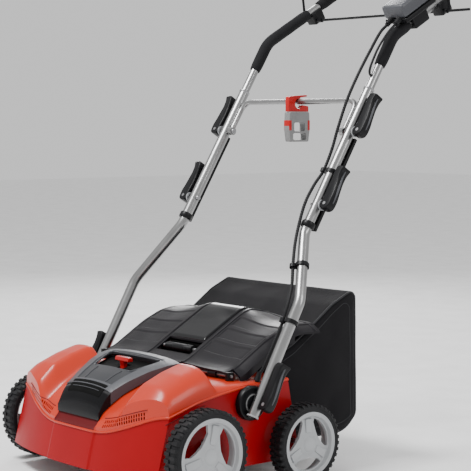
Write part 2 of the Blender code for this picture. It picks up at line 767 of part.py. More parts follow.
def build_mid_tubes():
    for side, sign in SIDES:
        path = [mid_point(sign, s) for s in (0.025, 0.13, 0.24, MID_END)]
        tube = finish("mid_tube_" + side, sweep(path, TUBE_R, TUBE_WALL), "tube")
        for at in (CLAMP_LOW, CLAMP_HIGH):
            hole = [mid_point(sign, at, reach) for reach in (-0.02, 0.02)]
            boolean(tube, sweep(hole, 0.0032, sides=14))


def build_guide_rails():
    for side, sign in SIDES:
        half = 0.109
        rail = box((-0.006, 0.0, -half), (0.006, 0.0075, half), 0.0012)
        axes = (Vector((1, 0, 0)), MID_BACK * -1, MID_SLOPE)
        frame_to_world(rail, mid_point(sign, 0.123, 0.0042, TUBE_R + 0.0083), *axes)
        obj = finish("guide_rail_" + side, rail, "black")
        collar = sweep([mid_point(sign, s) for s in (0.0125, 0.0246)], 0.0142, 0.0026, 20)
        boolean(obj, collar, "UNION")


def build_upper_tube():
    ends = [[mid_point(sign, 0.165), mirror(GRIP_BEND, sign), mirror(TOP_BAR, sign)]
            for _, sign in SIDES]
    path = rounded(ends[0] + ends[1][::-1], [0.070, 0.045, 0.045, 0.070], 3)
    tube = finish("upper_handle_tube", sweep(path, INNER_R, TUBE_WALL), "tube")
    for _, sign in SIDES:
        boolean(tube, slot_along(sign, CLAMP_HIGH - 0.066, CLAMP_HIGH + 0.0040, 0.0068))
    grommet = [mid_point(1, 0.372, 0, back) for back in (-0.013, -0.003)]
    boolean(tube, sweep(grommet, 0.0055, sides=12))


def grip_point(sign, along, up=0.0):
    """A point along the sloping top part of the upper handle tube."""
    rise = Vector((0, -GRIP_SLOPE.z, GRIP_SLOPE.y))
    return mirror(GRIP_BEND + GRIP_SLOPE * along + rise * up, sign)


def build_foam():
    radius = 0.0128
    wall = radius - INNER_R - GAP
    for side, sign in SIDES:
        last = grip_point(sign, 0.050 if sign > 0 else 0.143)
        path = rounded([mid_point(sign, 0.402), mirror(GRIP_BEND, sign), last], 0.070, 3)
        finish("foam_sleeve_" + side, sweep(path, radius, wall, 12), "foam")
    ends = [[grip_point(sign, 0.183), mirror(TOP_BAR, sign)] for _, sign in SIDES]
    path = rounded(ends[0] + ends[1][::-1], 0.045, 3)
    finish("foam_grip", sweep(path, radius, wall, 12), "foam")


def build_crossbar():
    bar = HIGH_BEND + MID_SLOPE * 0.3155
    inboard = -0.0182
    ends = [[mid_point(sign, CLAMP_HIGH, inboard), mid_point(sign, 0.3155, inboard)]
            for _, sign in SIDES]
    path = rounded(ends[0] + ends[1][::-1], 0.022, 3)
    obj = finish("crossbar", sweep(path, 0.006, sides=14), "tube")
    for _, sign in SIDES:
        eye = [mid_point(sign, CLAMP_HIGH, inboard + d) for d in (-0.0064, 0.0045)]
        boolean(obj, sweep(eye, 0.0090, sides=20), "UNION")
        hole = [mid_point(sign, CLAMP_HIGH, inboard + d) for d in (-0.02, 0.02)]
        boolean(obj, sweep(hole, 0.0033, sides=14))
    return bar


def build_clamp_bolts():
    """Cross bolt with an inboard head and an outboard seat for the lever."""
    for where, at, head in (("lower", CLAMP_LOW, 0.0116), ("upper", CLAMP_HIGH, 0.0249)):
        for side, sign in SIDES:
            reach = [-head - 0.0035, -head, -head, 0.0117, 0.0117, 0.0171]
            radii = [0.0060, 0.0060, 0.0029, 0.0029, 0.0090, 0.0090]
            path = [mid_point(sign, at, r) for r in reach]
            name = "%s_clamp_bolt_%s" % (where, side)
            finish(name, stepped_rod(path, radii, 18), "steel")


def stepped_rod(path, radii, sides):
    """A straight rod whose radius changes in square steps."""
    bm = bmesh.new()
    axis = (path[-1] - path[0]).normalized()
    side = axis.orthogonal().normalized()
    up = axis.cross(side)
    rings = []
    for point, r in zip(path, radii):
        ring = []
        for k in range(sides):
            angle = math.tau * k / sides
            offset = side * math.cos(angle) + up * math.sin(angle)
            ring.append(bm.verts.new(point + offset * r))
        rings.append(ring)
    for a, b in zip(rings, rings[1:]):
        ring_faces(bm, a, b)
    bm.faces.new(rings[0][::-1])
    bm.faces.new(rings[-1])
    return bm


def build_knuckles():
    profile = [(0.2360, 0), (0.2360, 0.0080), (0.2404, 0.0080), (0.2404, 0.0042),
               (0.2454, 0.0042), (0.2454, 0.0340), (0.2565, 0.0340), (0.2600, 0.0305),
               (0.2600, 0.0042), (0.2852, 0.0042), (0.2852, 0)]
    for side, sign in SIDES:
        bm = lathe(profile, PIVOT, 20, closed=False, flip=sign)
        finish("pivot_knuckle_" + side, bm, "black")


LEVER_OUTLINE = [(-0.0105, 0.0065), (-0.0098, 0.0190), (-0.0020, 0.0255), (0.0200, 0.0260),
                 (0.0480, 0.0225), (0.0700, 0.0200), (0.0800, 0.0225), (0.0850, 0.0235),
                 (0.0875, 0.0150), (0.0850, 0.0045), (0.0600, 0.0012), (0.0150, 0.0006),
                 (-0.0055, 0.0015)]
LEVER_PIN = 0.0125           # hinge pin, outboard of the lever's inner face


def build_lever(name, seat, along, sign):
    """Cam lever lying along a tube, hinged on a pin across its foot."""
    outward = Vector((sign, 0, 0))
    across = along.cross(outward)
    half = LEVER_WIDE / 2
    bm = prism(LEVER_OUTLINE, "z", -half, half, 0.0022)
    frame_to_world(bm, seat, along, outward, across)
    pin = seat + outward * LEVER_PIN
    lever = finish(name, bm, "black", pin)
    ends = [pin + across * d for d in (-half - 0.0009, half + 0.0009)]
    boolean(lever, sweep(ends, 0.0034, sides=14), "UNION")


def build_levers():
    for side, sign in SIDES:
        foot = Vector((sign * 0.2857, PIVOT.y, PIVOT.z))
        build_lever("foot_lever_" + side, foot, LOW_SLOPE, sign)
        for where, at in (("lower", CLAMP_LOW), ("upper", CLAMP_HIGH)):
            seat = mid_point(sign, at, 0.0176)
            build_lever("%s_lever_%s" % (where, side), seat, MID_SLOPE, sign)


# ----------------------------------------------------------------- cable hook
HOOK_X = -0.006


def hook_outline(centre, points):
    return [(centre.y + y, centre.z + z) for y, z in points]


def build_hook(bar):
    arc = [(0.0105 * math.cos(math.radians(a)), -0.0042 + 0.0105 * math.sin(math.radians(a)))
           for a in range(75, 346, 30)]
    claw = [(-0.029, -0.0215), (-0.029, 0.0080), (-0.026, 0.0115), (0.0240, 0.0150),
            (0.0245, 0.0110), (0.0060, 0.0095)] + arc + [(0.0290, -0.0090), (0.0290, -0.0215)]
    bm = prism(hook_outline(bar, claw)[::-1], "x", HOOK_X - 0.006, HOOK_X + 0.006)
    finish("hook_claw", bm, "red")
    frame = [(-0.029, -0.0220), (0.029, -0.0220), (0.0305, -0.0600), (0.0265, -0.0870),
             (-0.0265, -0.0870), (-0.0305, -0.0600)]
    bm = prism(hook_outline(bar, frame), "x", HOOK_X - 0.009, HOOK_X + 0.009, 0.0015)
    body = finish("cable_hook", bm, "hook")
    for low, high in (((-0.016, -0.0640), (0.016, -0.0470)), ((-0.019, -0.0830), (0.019, -0.0680))):
        cut = box((HOOK_X - 0.02, bar.y + low[0], bar.z + low[1]),
                  (HOOK_X + 0.02, bar.y + high[0], bar.z + high[1]))
        boolean(body, cut)


# ------------------------------------------------------- switch box and bail
BOX_START = 0.028            # along the sloping top part of the handle
BOX_END = 0.128


def build_switch_box():
    centre = grip_point(1, (BOX_START + BOX_END) / 2, 0.034)
    half = (BOX_END - BOX_START) / 2
    bm = box((-0.031, -half, -0.0195), (0.031, half, 0.0215), 0.006)
    rise = Vector((0, -GRIP_SLOPE.z, GRIP_SLOPE.y))
    frame_to_world(bm, centre - Vector((0.004, 0, 0)), Vector((1, 0, 0)), GRIP_SLOPE, rise)
    obj = finish("switch_box", bm, "cover")
    saddle = box((-0.017, -0.024, -0.046), (0.017, 0.024, -0.015), 0.003)
    frame_to_world(saddle, grip_point(1, 0.080, 0.032), Vector((1, 0, 0)), GRIP_SLOPE, rise)
    boolean(obj, saddle, "UNION")
    run = [grip_point(1, s) for s in (0.0, 0.2)]
    boolean(obj, sweep(run, INNER_R + GAP, sides=20))
    for x in (0.183, 0.207):
        start = grip_point(1, BOX_START + 0.006, 0.026)
        end = grip_point(1, BOX_START - 0.016, 0.021)
        boot = stepped_boot(Vector((x, start.y, start.z)), Vector((x, end.y, end.z)))
        boolean(obj, boot, "UNION")
    well = grip_point(1, 0.100, 0.055)
    hole = [well - rise * 0.0125, well + rise * 0.01]
    boolean(obj, sweep([p - Vector((0.010, 0, 0)) for p in hole], 0.0075, sides=20))
    return obj


def stepped_boot(start, end):
    points = [start.lerp(end, t) for t in (0, 0.6, 1)]
    return sweep(points, [0.0068, 0.0062, 0.0050], sides=14)


def build_lock_button():
    rise = Vector((0, -GRIP_SLOPE.z, GRIP_SLOPE.y))
    base = grip_point(1, 0.100, 0.0480) - Vector((0.010, 0, 0))
    path = [base + rise * d for d in (0.0, 0.0115, 0.0130)]
    finish("lock_button", sweep(path, [0.0069, 0.0069, 0.0058], sides=20), "red")


def build_bail():
    """Start bail: an axis rod with two arms and a bar, one side run long."""
    lean = math.radians(98)
    reach = Vector((0, math.cos(lean), math.sin(lean))) * 0.117
    half = 0.2290
    corners = [Vector((0.285, 0, 0)), Vector((-half, 0, 0)), Vector((-half, 0, 0)) + reach,
               Vector((half, 0, 0)) + reach, Vector((half, 0, 0)) + reach * 0.01]
    path = rounded([BAIL_AXIS + c for c in corners], [0.012, 0.020, 0.020], 3)
    bail = finish("start_bail", sweep(path, BAIL_R, sides=8), "steel", BAIL_AXIS)
    for i, (low, high) in enumerate(((-0.1845, -0.1700), (0.2155, 0.2240))):
        collar = sweep(on_axis(BAIL_AXIS, low, high), 0.0052, sides=16)
        boolean(bail, collar, "UNION", own_overlap=(i == 0))
    return bail


def build_bail_blocks():
    rise = Vector((0, -GRIP_SLOPE.z, GRIP_SLOPE.y))
    for side, sign in SIDES:
        bm = box((-0.0145, -0.0170, -0.0290), (0.0145, 0.0170, 0.0), 0.0025)
        frame_to_world(bm, grip_point(sign, 0.163), Vector((1, 0, 0)), GRIP_SLOPE, rise)
        block = finish("bail_block_" + side, bm, "black")
        run = [grip_point(sign, s) for s in (0.1, 0.23)]
        boolean(block, sweep(run, INNER_R + GAP, sides=20))
        bore = on_axis(BAIL_AXIS, sign * 0.17, sign * 0.23)
        boolean(block, sweep(bore, BAIL_R + 0.0005, sides=14))


# --------------------------------------------------------------------- cables
CABLE_ROUTE = [(0.1830, 0.2190, 0.9154), (0.1830, 0.1990, 0.8990), (0.1840, 0.1680, 0.8590),
               (0.1840, 0.1340, 0.8100), (0.1840, 0.1030, 0.7580), (0.1830, 0.0780, 0.7000),
               (0.1820, 0.0620, 0.6560), (0.1815, 0.0390, 0.6120), (0.1830, 0.0120, 0.5840),
               (0.1870, -0.0160, 0.5500), (0.1930, -0.0380, 0.5100), (0.2040, -0.0600, 0.4680),
               (0.2210, -0.0810, 0.4280), (0.2400, -0.1010, 0.3900), (0.2525, -0.1220, 0.3560),
               (0.2535, -0.1380, 0.3200), (0.2530, -0.1540, 0.2900), (0.2505, -0.1680, 0.2600),
               (0.2455, -0.1800, 0.2330), (0.2390, -0.1885, 0.2170), (0.2375, -0.1915, 0.2046)]
SHORT_ROUTE = [(0.2070, 0.2190, 0.9154), (0.2068, 0.1990, 0.8990), (0.2045, 0.1740, 0.8680),
               (0.2015, 0.1620, 0.8440), (0.2000, 0.1555, 0.8290), (0.2000, 0.1515, 0.8175),
               (0.2000, 0.1530, 0.8100), (0.2000, 0.1595, 0.8062)]


def smooth_route(points, spacing):
    """Even points on a Catmull-Rom curve through a route's own points."""
    pts = [Vector(p) for p in points]
    pts = [pts[0] * 2 - pts[1]] + pts + [pts[-1] * 2 - pts[-2]]
    dense = []
    for a, b, c, d in zip(pts, pts[1:], pts[2:], pts[3:]):
        for k in range(12):
            t = k / 12
            dense.append(((2 * b) + (c - a) * t + (2 * a - 5 * b + 4 * c - d) * t * t
                          + (3 * b - a - 3 * c + d) * t ** 3) / 2)
    dense.append(pts[-2])
    total = sum((q - p).length for p, q in zip(dense, dense[1:]))
    count = max(int(total / spacing), 2)
    out = []
    walked = 0.0
    for p, q in zip(dense, dense[1:]):
        step = (q - p).length
        while len(out) < count and walked + step >= total * len(out) / count:
            share = (total * len(out) / count - walked) / step
            out.append(p.lerp(q, share))
        walked += step
    return out + [dense[-1]]


def build_cable(name, route, radius):
    points = smooth_route(route, 0.0185)
    curve = bpy.data.curves.new(name, "CURVE")
    curve.dimensions = "3D"
    curve.bevel_depth = radius
    curve.bevel_resolution = 2
    curve.use_fill_caps = True
    spline = curve.splines.new("POLY")
    spline.points.add(len(points) - 1)
    for slot, point in zip(spline.points, points):
        slot.co = (*point, 1)
    obj = bpy.data.objects.new(name, curve)
    curve.materials.append(MATERIALS["black"])
    bpy.context.scene.collection.objects.link(obj)
    return obj


def build_clip(name, tube_point, slope, open_back):
    """A plastic clip: a ring round the tube with an eye round the cable."""
    route = smooth_route(CABLE_ROUTE, 0.002)
    cable_point = min(route, key=lambda p: abs((p - tube_point).dot(slope)))
    half = slope * 0.004
    clip = sweep([tube_point - half, tube_point + half], TUBE_R + 0.0030, sides=18)
    obj = finish(name, clip, "black")
    eye = sweep([cable_point - half, cable_point + half], CABLE_R + 0.0036, sides=12)
    boolean(obj, eye, "UNION")
    reach = slope * 0.02
    boolean(obj, sweep([tube_point - reach, tube_point + reach], TUBE_R + 0.0006, sides=18))
    boolean(obj, sweep([cable_point - reach, cable_point + reach], CABLE_R + 0.0015, sides=12))
    if open_back:
        gap = box((-0.03, 0.0100, -0.02), (0.03, 0.03, 0.02))
        axes = (Vector((1, 0, 0)), MID_BACK, Vector((0, -MID_SLOPE.y, -MID_SLOPE.z)))
        boolean(obj, frame_to_world(gap, tube_point, *axes))
    return obj


def build_clips():
    leg = (HIGH_BEND - LOW_BEND).normalized()
    foot = Vector((LOWER_X, PIVOT.y, PIVOT.z)) + LOW_SLOPE * 0.1750
    build_clip("cable_clip_top", mid_point(1, 0.1425), MID_SLOPE, True)
    build_clip("cable_clip_middle", LOW_BEND + leg * 0.0850, leg, False)
    build_clip("cable_clip_bottom", foot, LOW_SLOPE, False)


# ----------------------------------------------------------------------- main
clear_scene()
MATERIALS = make_materials()
build_lower_deck()
build_upper_housing()
build_motor_cover()
build_handle_well()
build_cover_lip()
build_depth_lever()
build_motor()
build_motor_pulley()
build_rotor()
build_belt()
build_axles()
build_wheels()
build_rear_flap()
build_flap_tray()
build_flap_grip()
build_flap_pin()
build_bag()
build_knuckles()
build_lower_tubes()
build_mid_tubes()
build_guide_rails()
build_upper_tube()
build_foam()
build_hook(build_crossbar())
build_clamp_bolts()
build_levers()
build_switch_box()
build_lock_button()
build_bail()
build_bail_blocks()
build_cable("power_cable", CABLE_ROUTE, CABLE_R)
build_cable("switch_lead", SHORT_ROUTE, 0.0026)
build_clips()
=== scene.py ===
"""Looks of a walk-behind lawn dethatcher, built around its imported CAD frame.

Metres, +Z up. The machine's front faces -Y and its left side is +X.
"""
import json
from math import copysign, cos, pi, radians, sin, sqrt, tan, tau

import bmesh
import bpy
from mathutils import Matrix, Vector


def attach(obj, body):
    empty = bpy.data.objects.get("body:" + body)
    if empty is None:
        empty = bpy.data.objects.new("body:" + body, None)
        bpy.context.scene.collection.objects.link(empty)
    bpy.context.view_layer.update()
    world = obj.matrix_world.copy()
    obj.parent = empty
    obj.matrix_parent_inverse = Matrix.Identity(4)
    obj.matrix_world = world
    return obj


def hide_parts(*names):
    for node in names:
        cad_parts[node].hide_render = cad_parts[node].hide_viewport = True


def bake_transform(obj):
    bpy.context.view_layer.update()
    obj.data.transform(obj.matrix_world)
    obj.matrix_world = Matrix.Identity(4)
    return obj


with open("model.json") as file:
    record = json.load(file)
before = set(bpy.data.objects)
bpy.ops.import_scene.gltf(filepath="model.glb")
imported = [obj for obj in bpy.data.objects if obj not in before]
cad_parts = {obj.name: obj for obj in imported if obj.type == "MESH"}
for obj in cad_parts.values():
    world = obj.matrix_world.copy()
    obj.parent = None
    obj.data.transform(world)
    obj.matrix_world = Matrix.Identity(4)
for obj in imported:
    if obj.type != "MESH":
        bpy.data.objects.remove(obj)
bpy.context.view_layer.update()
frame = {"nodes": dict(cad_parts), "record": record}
NODES = frame["nodes"]
BODY_OF = {node: body for body, nodes in frame["record"]["behaviour"]["bodies"].items()
           for node in nodes}
SIDES = (("left", 1), ("right", -1))


# ------------------------------------------------------- camera, floor, light
AZIMUTH = radians(49.96)
ELEVATION = radians(4.18)


def build_camera():
    data = bpy.data.cameras.new("camera")
    data.sensor_width = 36
    data.lens = 117.6
    camera = bpy.data.objects.new("camera", data)
    camera.location = (2.486, -2.134, 0.709)
    away = Vector((-sin(AZIMUTH) * cos(ELEVATION),
                   cos(AZIMUTH) * cos(ELEVATION), -sin(ELEVATION)))
    camera.rotation_euler = away.to_track_quat("-Z", "Y").to_euler()
    bpy.context.scene.collection.objects.link(camera)
    bpy.context.scene.camera = camera


def build_floor():
    bm = bmesh.new()
    bmesh.ops.create_grid(bm, x_segments=1, y_segments=1, size=14)
    mesh = bpy.data.meshes.new("floor")
    bm.to_mesh(mesh)
    bm.free()
    floor = bpy.data.objects.new("floor", mesh)
    floor.location.z = -0.0005
    mat = plastic("floor_paint", (0.95, 0.95, 0.95), 0.80, 0.02, 3.0, 0.0, 0.1)
    mesh.materials.append(mat)
    bpy.context.scene.collection.objects.link(floor)


def area_light(name, place, target, size, power):
    data = bpy.data.lights.new(name, "AREA")
    data.shape = "RECTANGLE"
    data.size = size[0]
    data.size_y = size[1]
    data.energy = power
    light = bpy.data.objects.new(name, data)
    light.location = place
    toward = Vector(target) - Vector(place)
    light.rotation_euler = toward.to_track_quat("-Z", "Y").to_euler()
    bpy.context.scene.collection.objects.link(light)


def build_lights():
    world = bpy.data.worlds.new("studio")
    world.use_nodes = True
    world.node_tree.nodes["Background"].inputs["Color"].default_value = (1, 1, 1, 1)
    world.node_tree.nodes["Background"].inputs["Strength"].default_value = 0.80
    bpy.context.scene.world = world
    middle = (0, 0, 0.35)
    area_light("key", (-0.5, -1.5, 3.2), middle, (1.1, 0.9), 130)
    area_light("side", (2.6, 0.8, 2.2), middle, (0.5, 1.8), 26)
    area_light("rim", (-2.4, 1.8, 2.0), middle, (0.5, 2.0), 40)


# ------------------------------------------------------------------ materials
def link(mat, start, end):
    mat.node_tree.links.new(start, end)


def add_node(mat, kind, **values):
    node = mat.node_tree.nodes.new(kind)
    for key, value in values.items():
        if key in node.inputs:
            node.inputs[key].default_value = value
        else:
            setattr(node, key, value)
    return node


def principled(name, roughness, metallic=0.0, specular=0.5):
    mat = bpy.data.materials.new(name)
    mat.use_nodes = True
    shader = mat.node_tree.nodes["Principled BSDF"]
    shader.inputs["Roughness"].default_value = roughness
    shader.inputs["Metallic"].default_value = metallic
    shader.inputs["Specular IOR Level"].default_value = specular
    return mat, shader


def place_of(mat):
    return add_node(mat, "ShaderNodeTexCoord").outputs["Object"]


def speckle(mat, scale, detail=3.0):
    noise = add_node(mat, "ShaderNodeTexNoise", Scale=scale, Detail=detail)
    link(mat, place_of(mat), noise.inputs["Vector"])
    return noise.outputs["Fac"]


def vary_colour(mat, shader, factor, dark, light):
    mix = add_node(mat, "ShaderNodeMix", data_type="RGBA")
    mix.inputs[6].default_value = (*dark, 1)
    mix.inputs[7].default_value = (*light, 1)
    link(mat, factor, mix.inputs[0])
    link(mat, mix.outputs[2], shader.inputs["Base Color"])


def vary_roughness(mat, shader, factor, low, high):
    span = add_node(mat, "ShaderNodeMapRange")
    span.inputs["To Min"].default_value = low
    span.inputs["To Max"].default_value = high
    link(mat, factor, span.inputs["Value"])
    link(mat, span.outputs["Result"], shader.inputs["Roughness"])


def add_bump(mat, shader, height, strength, distance):
    bump = add_node(mat, "ShaderNodeBump", Strength=strength, Distance=distance)
    link(mat, height, bump.inputs["Height"])
    link(mat, bump.outputs["Normal"], shader.inputs["Normal"])


def scaled(colour, share):
    return tuple(min(c * share, 1.0) for c in colour)


def plastic(name, colour, roughness, grain=0.15, scale=900.0, coat=0.0, specular=0.4):
    """Moulded plastic: fine grain, slow patches of tone and of gloss."""
    mat, shader = principled(name, roughness, 0.0, specular)
    shader.inputs["Coat Weight"].default_value = coat
    shader.inputs["Coat Roughness"].default_value = 0.12
    slow = speckle(mat, 9.0)
    vary_colour(mat, shader, slow, scaled(colour, 0.86), scaled(colour, 1.12))
    vary_roughness(mat, shader, speckle(mat, 35.0), roughness * 0.82, roughness * 1.2)
    add_bump(mat, shader, speckle(mat, scale, 2.0), grain, 0.0004)
    return mat


def metal(name, colour, roughness, streak=(2.0, 2.0, 2.0)):
    """Plated or bare steel with faint drawn streaks and duller patches."""
    mat, shader = principled(name, roughness, 1.0)
    stretch = add_node(mat, "ShaderNodeMapping")
    stretch.inputs["Scale"].default_value = streak
    link(mat, place_of(mat), stretch.inputs["Vector"])
    noise = add_node(mat, "ShaderNodeTexNoise", Scale=60.0, Detail=4.0)
    link(mat, stretch.outputs["Vector"], noise.inputs["Vector"])
    vary_colour(mat, shader, noise.outputs["Fac"], scaled(colour, 0.72), scaled(colour, 1.12))
    vary_roughness(mat, shader, speckle(mat, 18.0), roughness * 0.85, roughness * 1.3)
    add_bump(mat, shader, noise.outputs["Fac"], 0.03, 0.0001)
    return mat


def weave(name, colour):
    """Woven cloth: two crossed thread directions, worn lighter on the threads."""
    pitch = 0.0011
    mat, shader = principled(name, 0.9, 0.0, 0.15)
    shader.inputs["Sheen Weight"].default_value = 0.06
    shader.inputs["Sheen Roughness"].default_value = 0.5
    waves = []
    for axis in ("X", "Z"):
        wave = add_node(mat, "ShaderNodeTexWave", bands_direction=axis, wave_profile="SIN")
        wave.inputs["Scale"].default_value = 0.314 / pitch
        wave.inputs["Distortion"].default_value = 0.6
        wave.inputs["Detail"].default_value = 1.0
        wave.inputs["Detail Scale"].default_value = 3.0
        slant = add_node(mat, "ShaderNodeMapping")
        slant.inputs["Rotation"].default_value = (0.0, 0.0, radians(45))
        link(mat, place_of(mat), slant.inputs["Vector"])
        link(mat, slant.outputs["Vector"], wave.inputs["Vector"])
        waves.append(wave.outputs["Fac"])
    crossed = add_node(mat, "ShaderNodeMath", operation="MULTIPLY")
    link(mat, waves[0], crossed.inputs[0])
    link(mat, waves[1], crossed.inputs[1])
    vary_colour(mat, shader, crossed.outputs[0], scaled(colour, 0.65), scaled(colour, 1.5))
    add_bump(mat, shader, crossed.outputs[0], 0.5, 0.0006)
    return mat


def rubber(name, colour, roughness, scale):
    mat, shader = principled(name, roughness, 0.0, 0.25)
    vary_colour(mat, shader, speckle(mat, 14.0), scaled(colour, 0.7), scaled(colour, 1.5))
    vary_roughness(mat, shader, speckle(mat, 50.0), roughness * 0.85, min(roughness * 1.15, 1))
    add_bump(mat, shader, speckle(mat, scale, 4.0), 0.35, 0.0006)
    return mat


def make_materials():
    return {
        "red": plastic("red_housing", (0.50, 0.026, 0.006), 0.34, 0.05, 1400.0, 0.12, 0.3),
        # Painted shade: the housing's red plastic made darker for the sides that face away from the
        # top light.
        "side_shade_red": plastic("red_side_painted_shade", (0.30, 0.0006, 0.004), 0.38, 0.05, 1400.0, 0.04, 0.15),
        # Painted shade: near-black red laid on recesses, creases and steps where shade falls.
        "recess_shade_red": plastic("red_recess_painted_shade", (0.10, 0.0004, 0.002), 0.45, 0.08, 1400.0, 0.0, 0.2),
        "red_control": plastic("red_control", (0.42, 0.003, 0.003), 0.34, 0.05, 1400.0, 0.1, 0.3),
        "cover": plastic("cover_grey", (0.060, 0.062, 0.070), 0.38, 0.35, 1500.0),
        "panel": plastic("cover_panel", (0.022, 0.023, 0.027), 0.34, 0.25, 1500.0),
        "black": plastic("black_plastic", (0.004, 0.004, 0.005), 0.38, 0.30, 1300.0, 0.0, 0.2),
        # Painted shade: near-black for hollows and insides where shade falls.
        "hollow_shade": plastic("dark_inside_painted_shade", (0.002, 0.002, 0.002), 0.75, 0.2, 700.0, 0.0, 0.1),
        "flap": plastic("flap_grey", (0.006, 0.005, 0.007), 0.38, 0.35, 1300.0, 0.0, 0.2),
        "gloss": plastic("flap_panel", (0.004, 0.004, 0.005), 0.20, 0.05, 1300.0, 0.1, 0.25),
        "rim": plastic("rim_grey", (0.36, 0.37, 0.38), 0.42, 0.12, 1200.0),
        "tyre": rubber("tyre_black", (0.007, 0.007, 0.008), 0.60, 700.0),
        "tube": metal("zinc_tube", (0.34, 0.34, 0.34), 0.27, (1.0, 0.25, 0.25)),
        "steel": metal("steel", (0.36, 0.36, 0.37), 0.34),
        "foam": rubber("foam_black", (0.006, 0.006, 0.007), 0.88, 1600.0),
        "bag": weave("bag_fabric", (0.0075, 0.0070, 0.0085)),
        "piping": rubber("bag_piping", (0.020, 0.020, 0.022), 0.55, 1200.0),
        "hook": plastic("hook_grey", (0.20, 0.20, 0.20), 0.40, 0.15, 1200.0),
        "motor": metal("motor_grey", (0.25, 0.25, 0.26), 0.50),
        "cable": rubber("cable_black", (0.006, 0.006, 0.007), 0.50, 1500.0),
    }


# -------------------------------------------------------------------- helpers
def shade(obj, sharp):
    """Smooth shading that breaks at edges sharper than an angle in degrees."""
    obj.data.shade_smooth()
    obj.data.set_sharp_from_angle(angle=radians(sharp))


def add_object(name, bm, mat, node, rides=True, sharp=35.0):
    """Turns a bmesh into a shown piece that stands for a CAD node and rides on its body."""
    bmesh.ops.remove_doubles(bm, verts=bm.verts, dist=1e-6)
    bmesh.ops.recalc_face_normals(bm, faces=bm.faces)
    mesh = bpy.data.meshes.new(name)
    bm.to_mesh(mesh)
    bm.free()
    mesh.materials.append(MATERIALS[mat])
    obj = bpy.data.objects.new(name, mesh)
    bpy.context.scene.collection.objects.link(obj)
    shade(obj, sharp)
    if rides:
        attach(obj, BODY_OF[node])
    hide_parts(node)
    return obj


def apply_modifiers(obj):
    bpy.context.view_layer.update()
    graph = bpy.context.evaluated_depsgraph_get()
    mesh = bpy.data.meshes.new_from_object(obj.evaluated_get(graph))
    obj.modifiers.clear()
    obj.data = mesh


def boolean(obj, bm, operation="DIFFERENCE"):
    mesh = bpy.data.meshes.new("cutter")
    bmesh.ops.recalc_face_normals(bm, faces=bm.faces)
    bm.to_mesh(mesh)
    bm.free()
    mesh.materials.append(obj.data.materials[0])
    cutter = bpy.data.objects.new("cutter", mesh)
    bpy.context.scene.collection.objects.link(cutter)
    mod = obj.modifiers.new("cut", "BOOLEAN")
    mod.operation = operation
    mod.solver = "EXACT"
    mod.object = cutter
    apply_modifiers(obj)
    bpy.data.objects.remove(cutter)


def round_edges(obj, width):
    """A bevel modifier that softens an object's sharp edges."""
    mod = obj.modifiers.new("round", "BEVEL")
    mod.width = width
    mod.segments = 2
    mod.limit_method = "ANGLE"
    mod.angle_limit = radians(35)
    mod.harden_normals = True


def ring_faces(bm, a, b):
    count = len(a)
    for i in range(count):
        j = (i + 1) % count
        bm.faces.new((a[i], a[j], b[j], b[i]))


def loft(bm, rings):
    """Closes a row of vertex rings into a solid."""
    for a, b in zip(rings, rings[1:]):
        ring_faces(bm, a, b)
    bm.faces.new(rings[0][::-1])
    bm.faces.new(rings[-1])
    return bm


def sweep(path, radius, wall=None, sides=28):
    """A round rod or, with a wall, an open tube along a list of points."""
    bm = bmesh.new()
    points = [Vector(p) for p in path]
    radii = radius if isinstance(radius, (list, tuple)) else [radius] * len(points)
    side = (points[1] - points[0]).normalized().orthogonal().normalized()
    rings = []
    inner = []
    for i, point in enumerate(points):
        before = points[max(i - 1, 0)]
        after = points[min(i + 1, len(points) - 1)]
        tangent = (after - before).normalized()
        side = (side - tangent * side.dot(tangent)).normalized()
        up = tangent.cross(side)
        arms = [side * cos(tau * k / sides) + up * sin(tau * k / sides)
                for k in range(sides)]
        rings.append([bm.verts.new(point + arm * radii[i]) for arm in arms])
        if wall:
            inner.append([bm.verts.new(point + arm * (radii[i] - wall)) for arm in arms])
    if not wall:
        return loft(bm, rings)
    for a, b in zip(rings, rings[1:]):
        ring_faces(bm, a, b)
    for a, b in zip(inner, inner[1:]):
        ring_faces(bm, b, a)
    ring_faces(bm, inner[0], rings[0])
    ring_faces(bm, rings[-1], inner[-1])
    return bm


def rounded(points, radius, steps=10):
    """The polyline with each inner corner replaced by an arc."""
    points = [Vector(p) for p in points]
    radii = radius if isinstance(radius, (list, tuple)) else [radius] * (len(points) - 2)
    out = [points[0]]
    for i, corner in enumerate(points[1:-1]):
        into = (corner - points[i]).normalized()
        away = (points[i + 2] - corner).normalized()
        turn = into.angle(away)
        start = corner - into * radii[i] * tan(turn / 2)
        normal = (away - into * into.dot(away)).normalized()
        centre = start + normal * radii[i]
        for k in range(steps + 1):
            angle = turn * k / steps
            out.append(centre + (into * sin(angle) - normal * cos(angle)) * radii[i])
    out.append(points[-1])
    return out


def catmull_rom(a, b, c, d, t):
    """The point at share t of the way from b to c on a curve through all four."""
    return (2 * b + (c - a) * t + (2 * a - 5 * b + 4 * c - d) * t * t
            + (3 * b - a - 3 * c + d) * t ** 3) / 2


def smooth_route(points, spacing):
    """Even points on a Catmull-Rom curve through a route's own points."""
    pts = [Vector(p) for p in points]
    pts = [pts[0] * 2 - pts[1]] + pts + [pts[-1] * 2 - pts[-2]]
    dense = []
    for a, b, c, d in zip(pts, pts[1:], pts[2:], pts[3:]):
        dense += [catmull_rom(a, b, c, d, k / 12) for k in range(12)]
    dense.append(pts[-2])
    out = [dense[0]]
    for point in dense[1:]:
        if (point - out[-1]).length >= spacing:
            out.append(point)
    out[-1] = dense[-1]
    return out


def around(centre, x, r, angle):
    """A point at a radius and an angle about a line along X."""
    return (x, centre[1] + r * cos(angle), centre[2] + r * sin(angle))


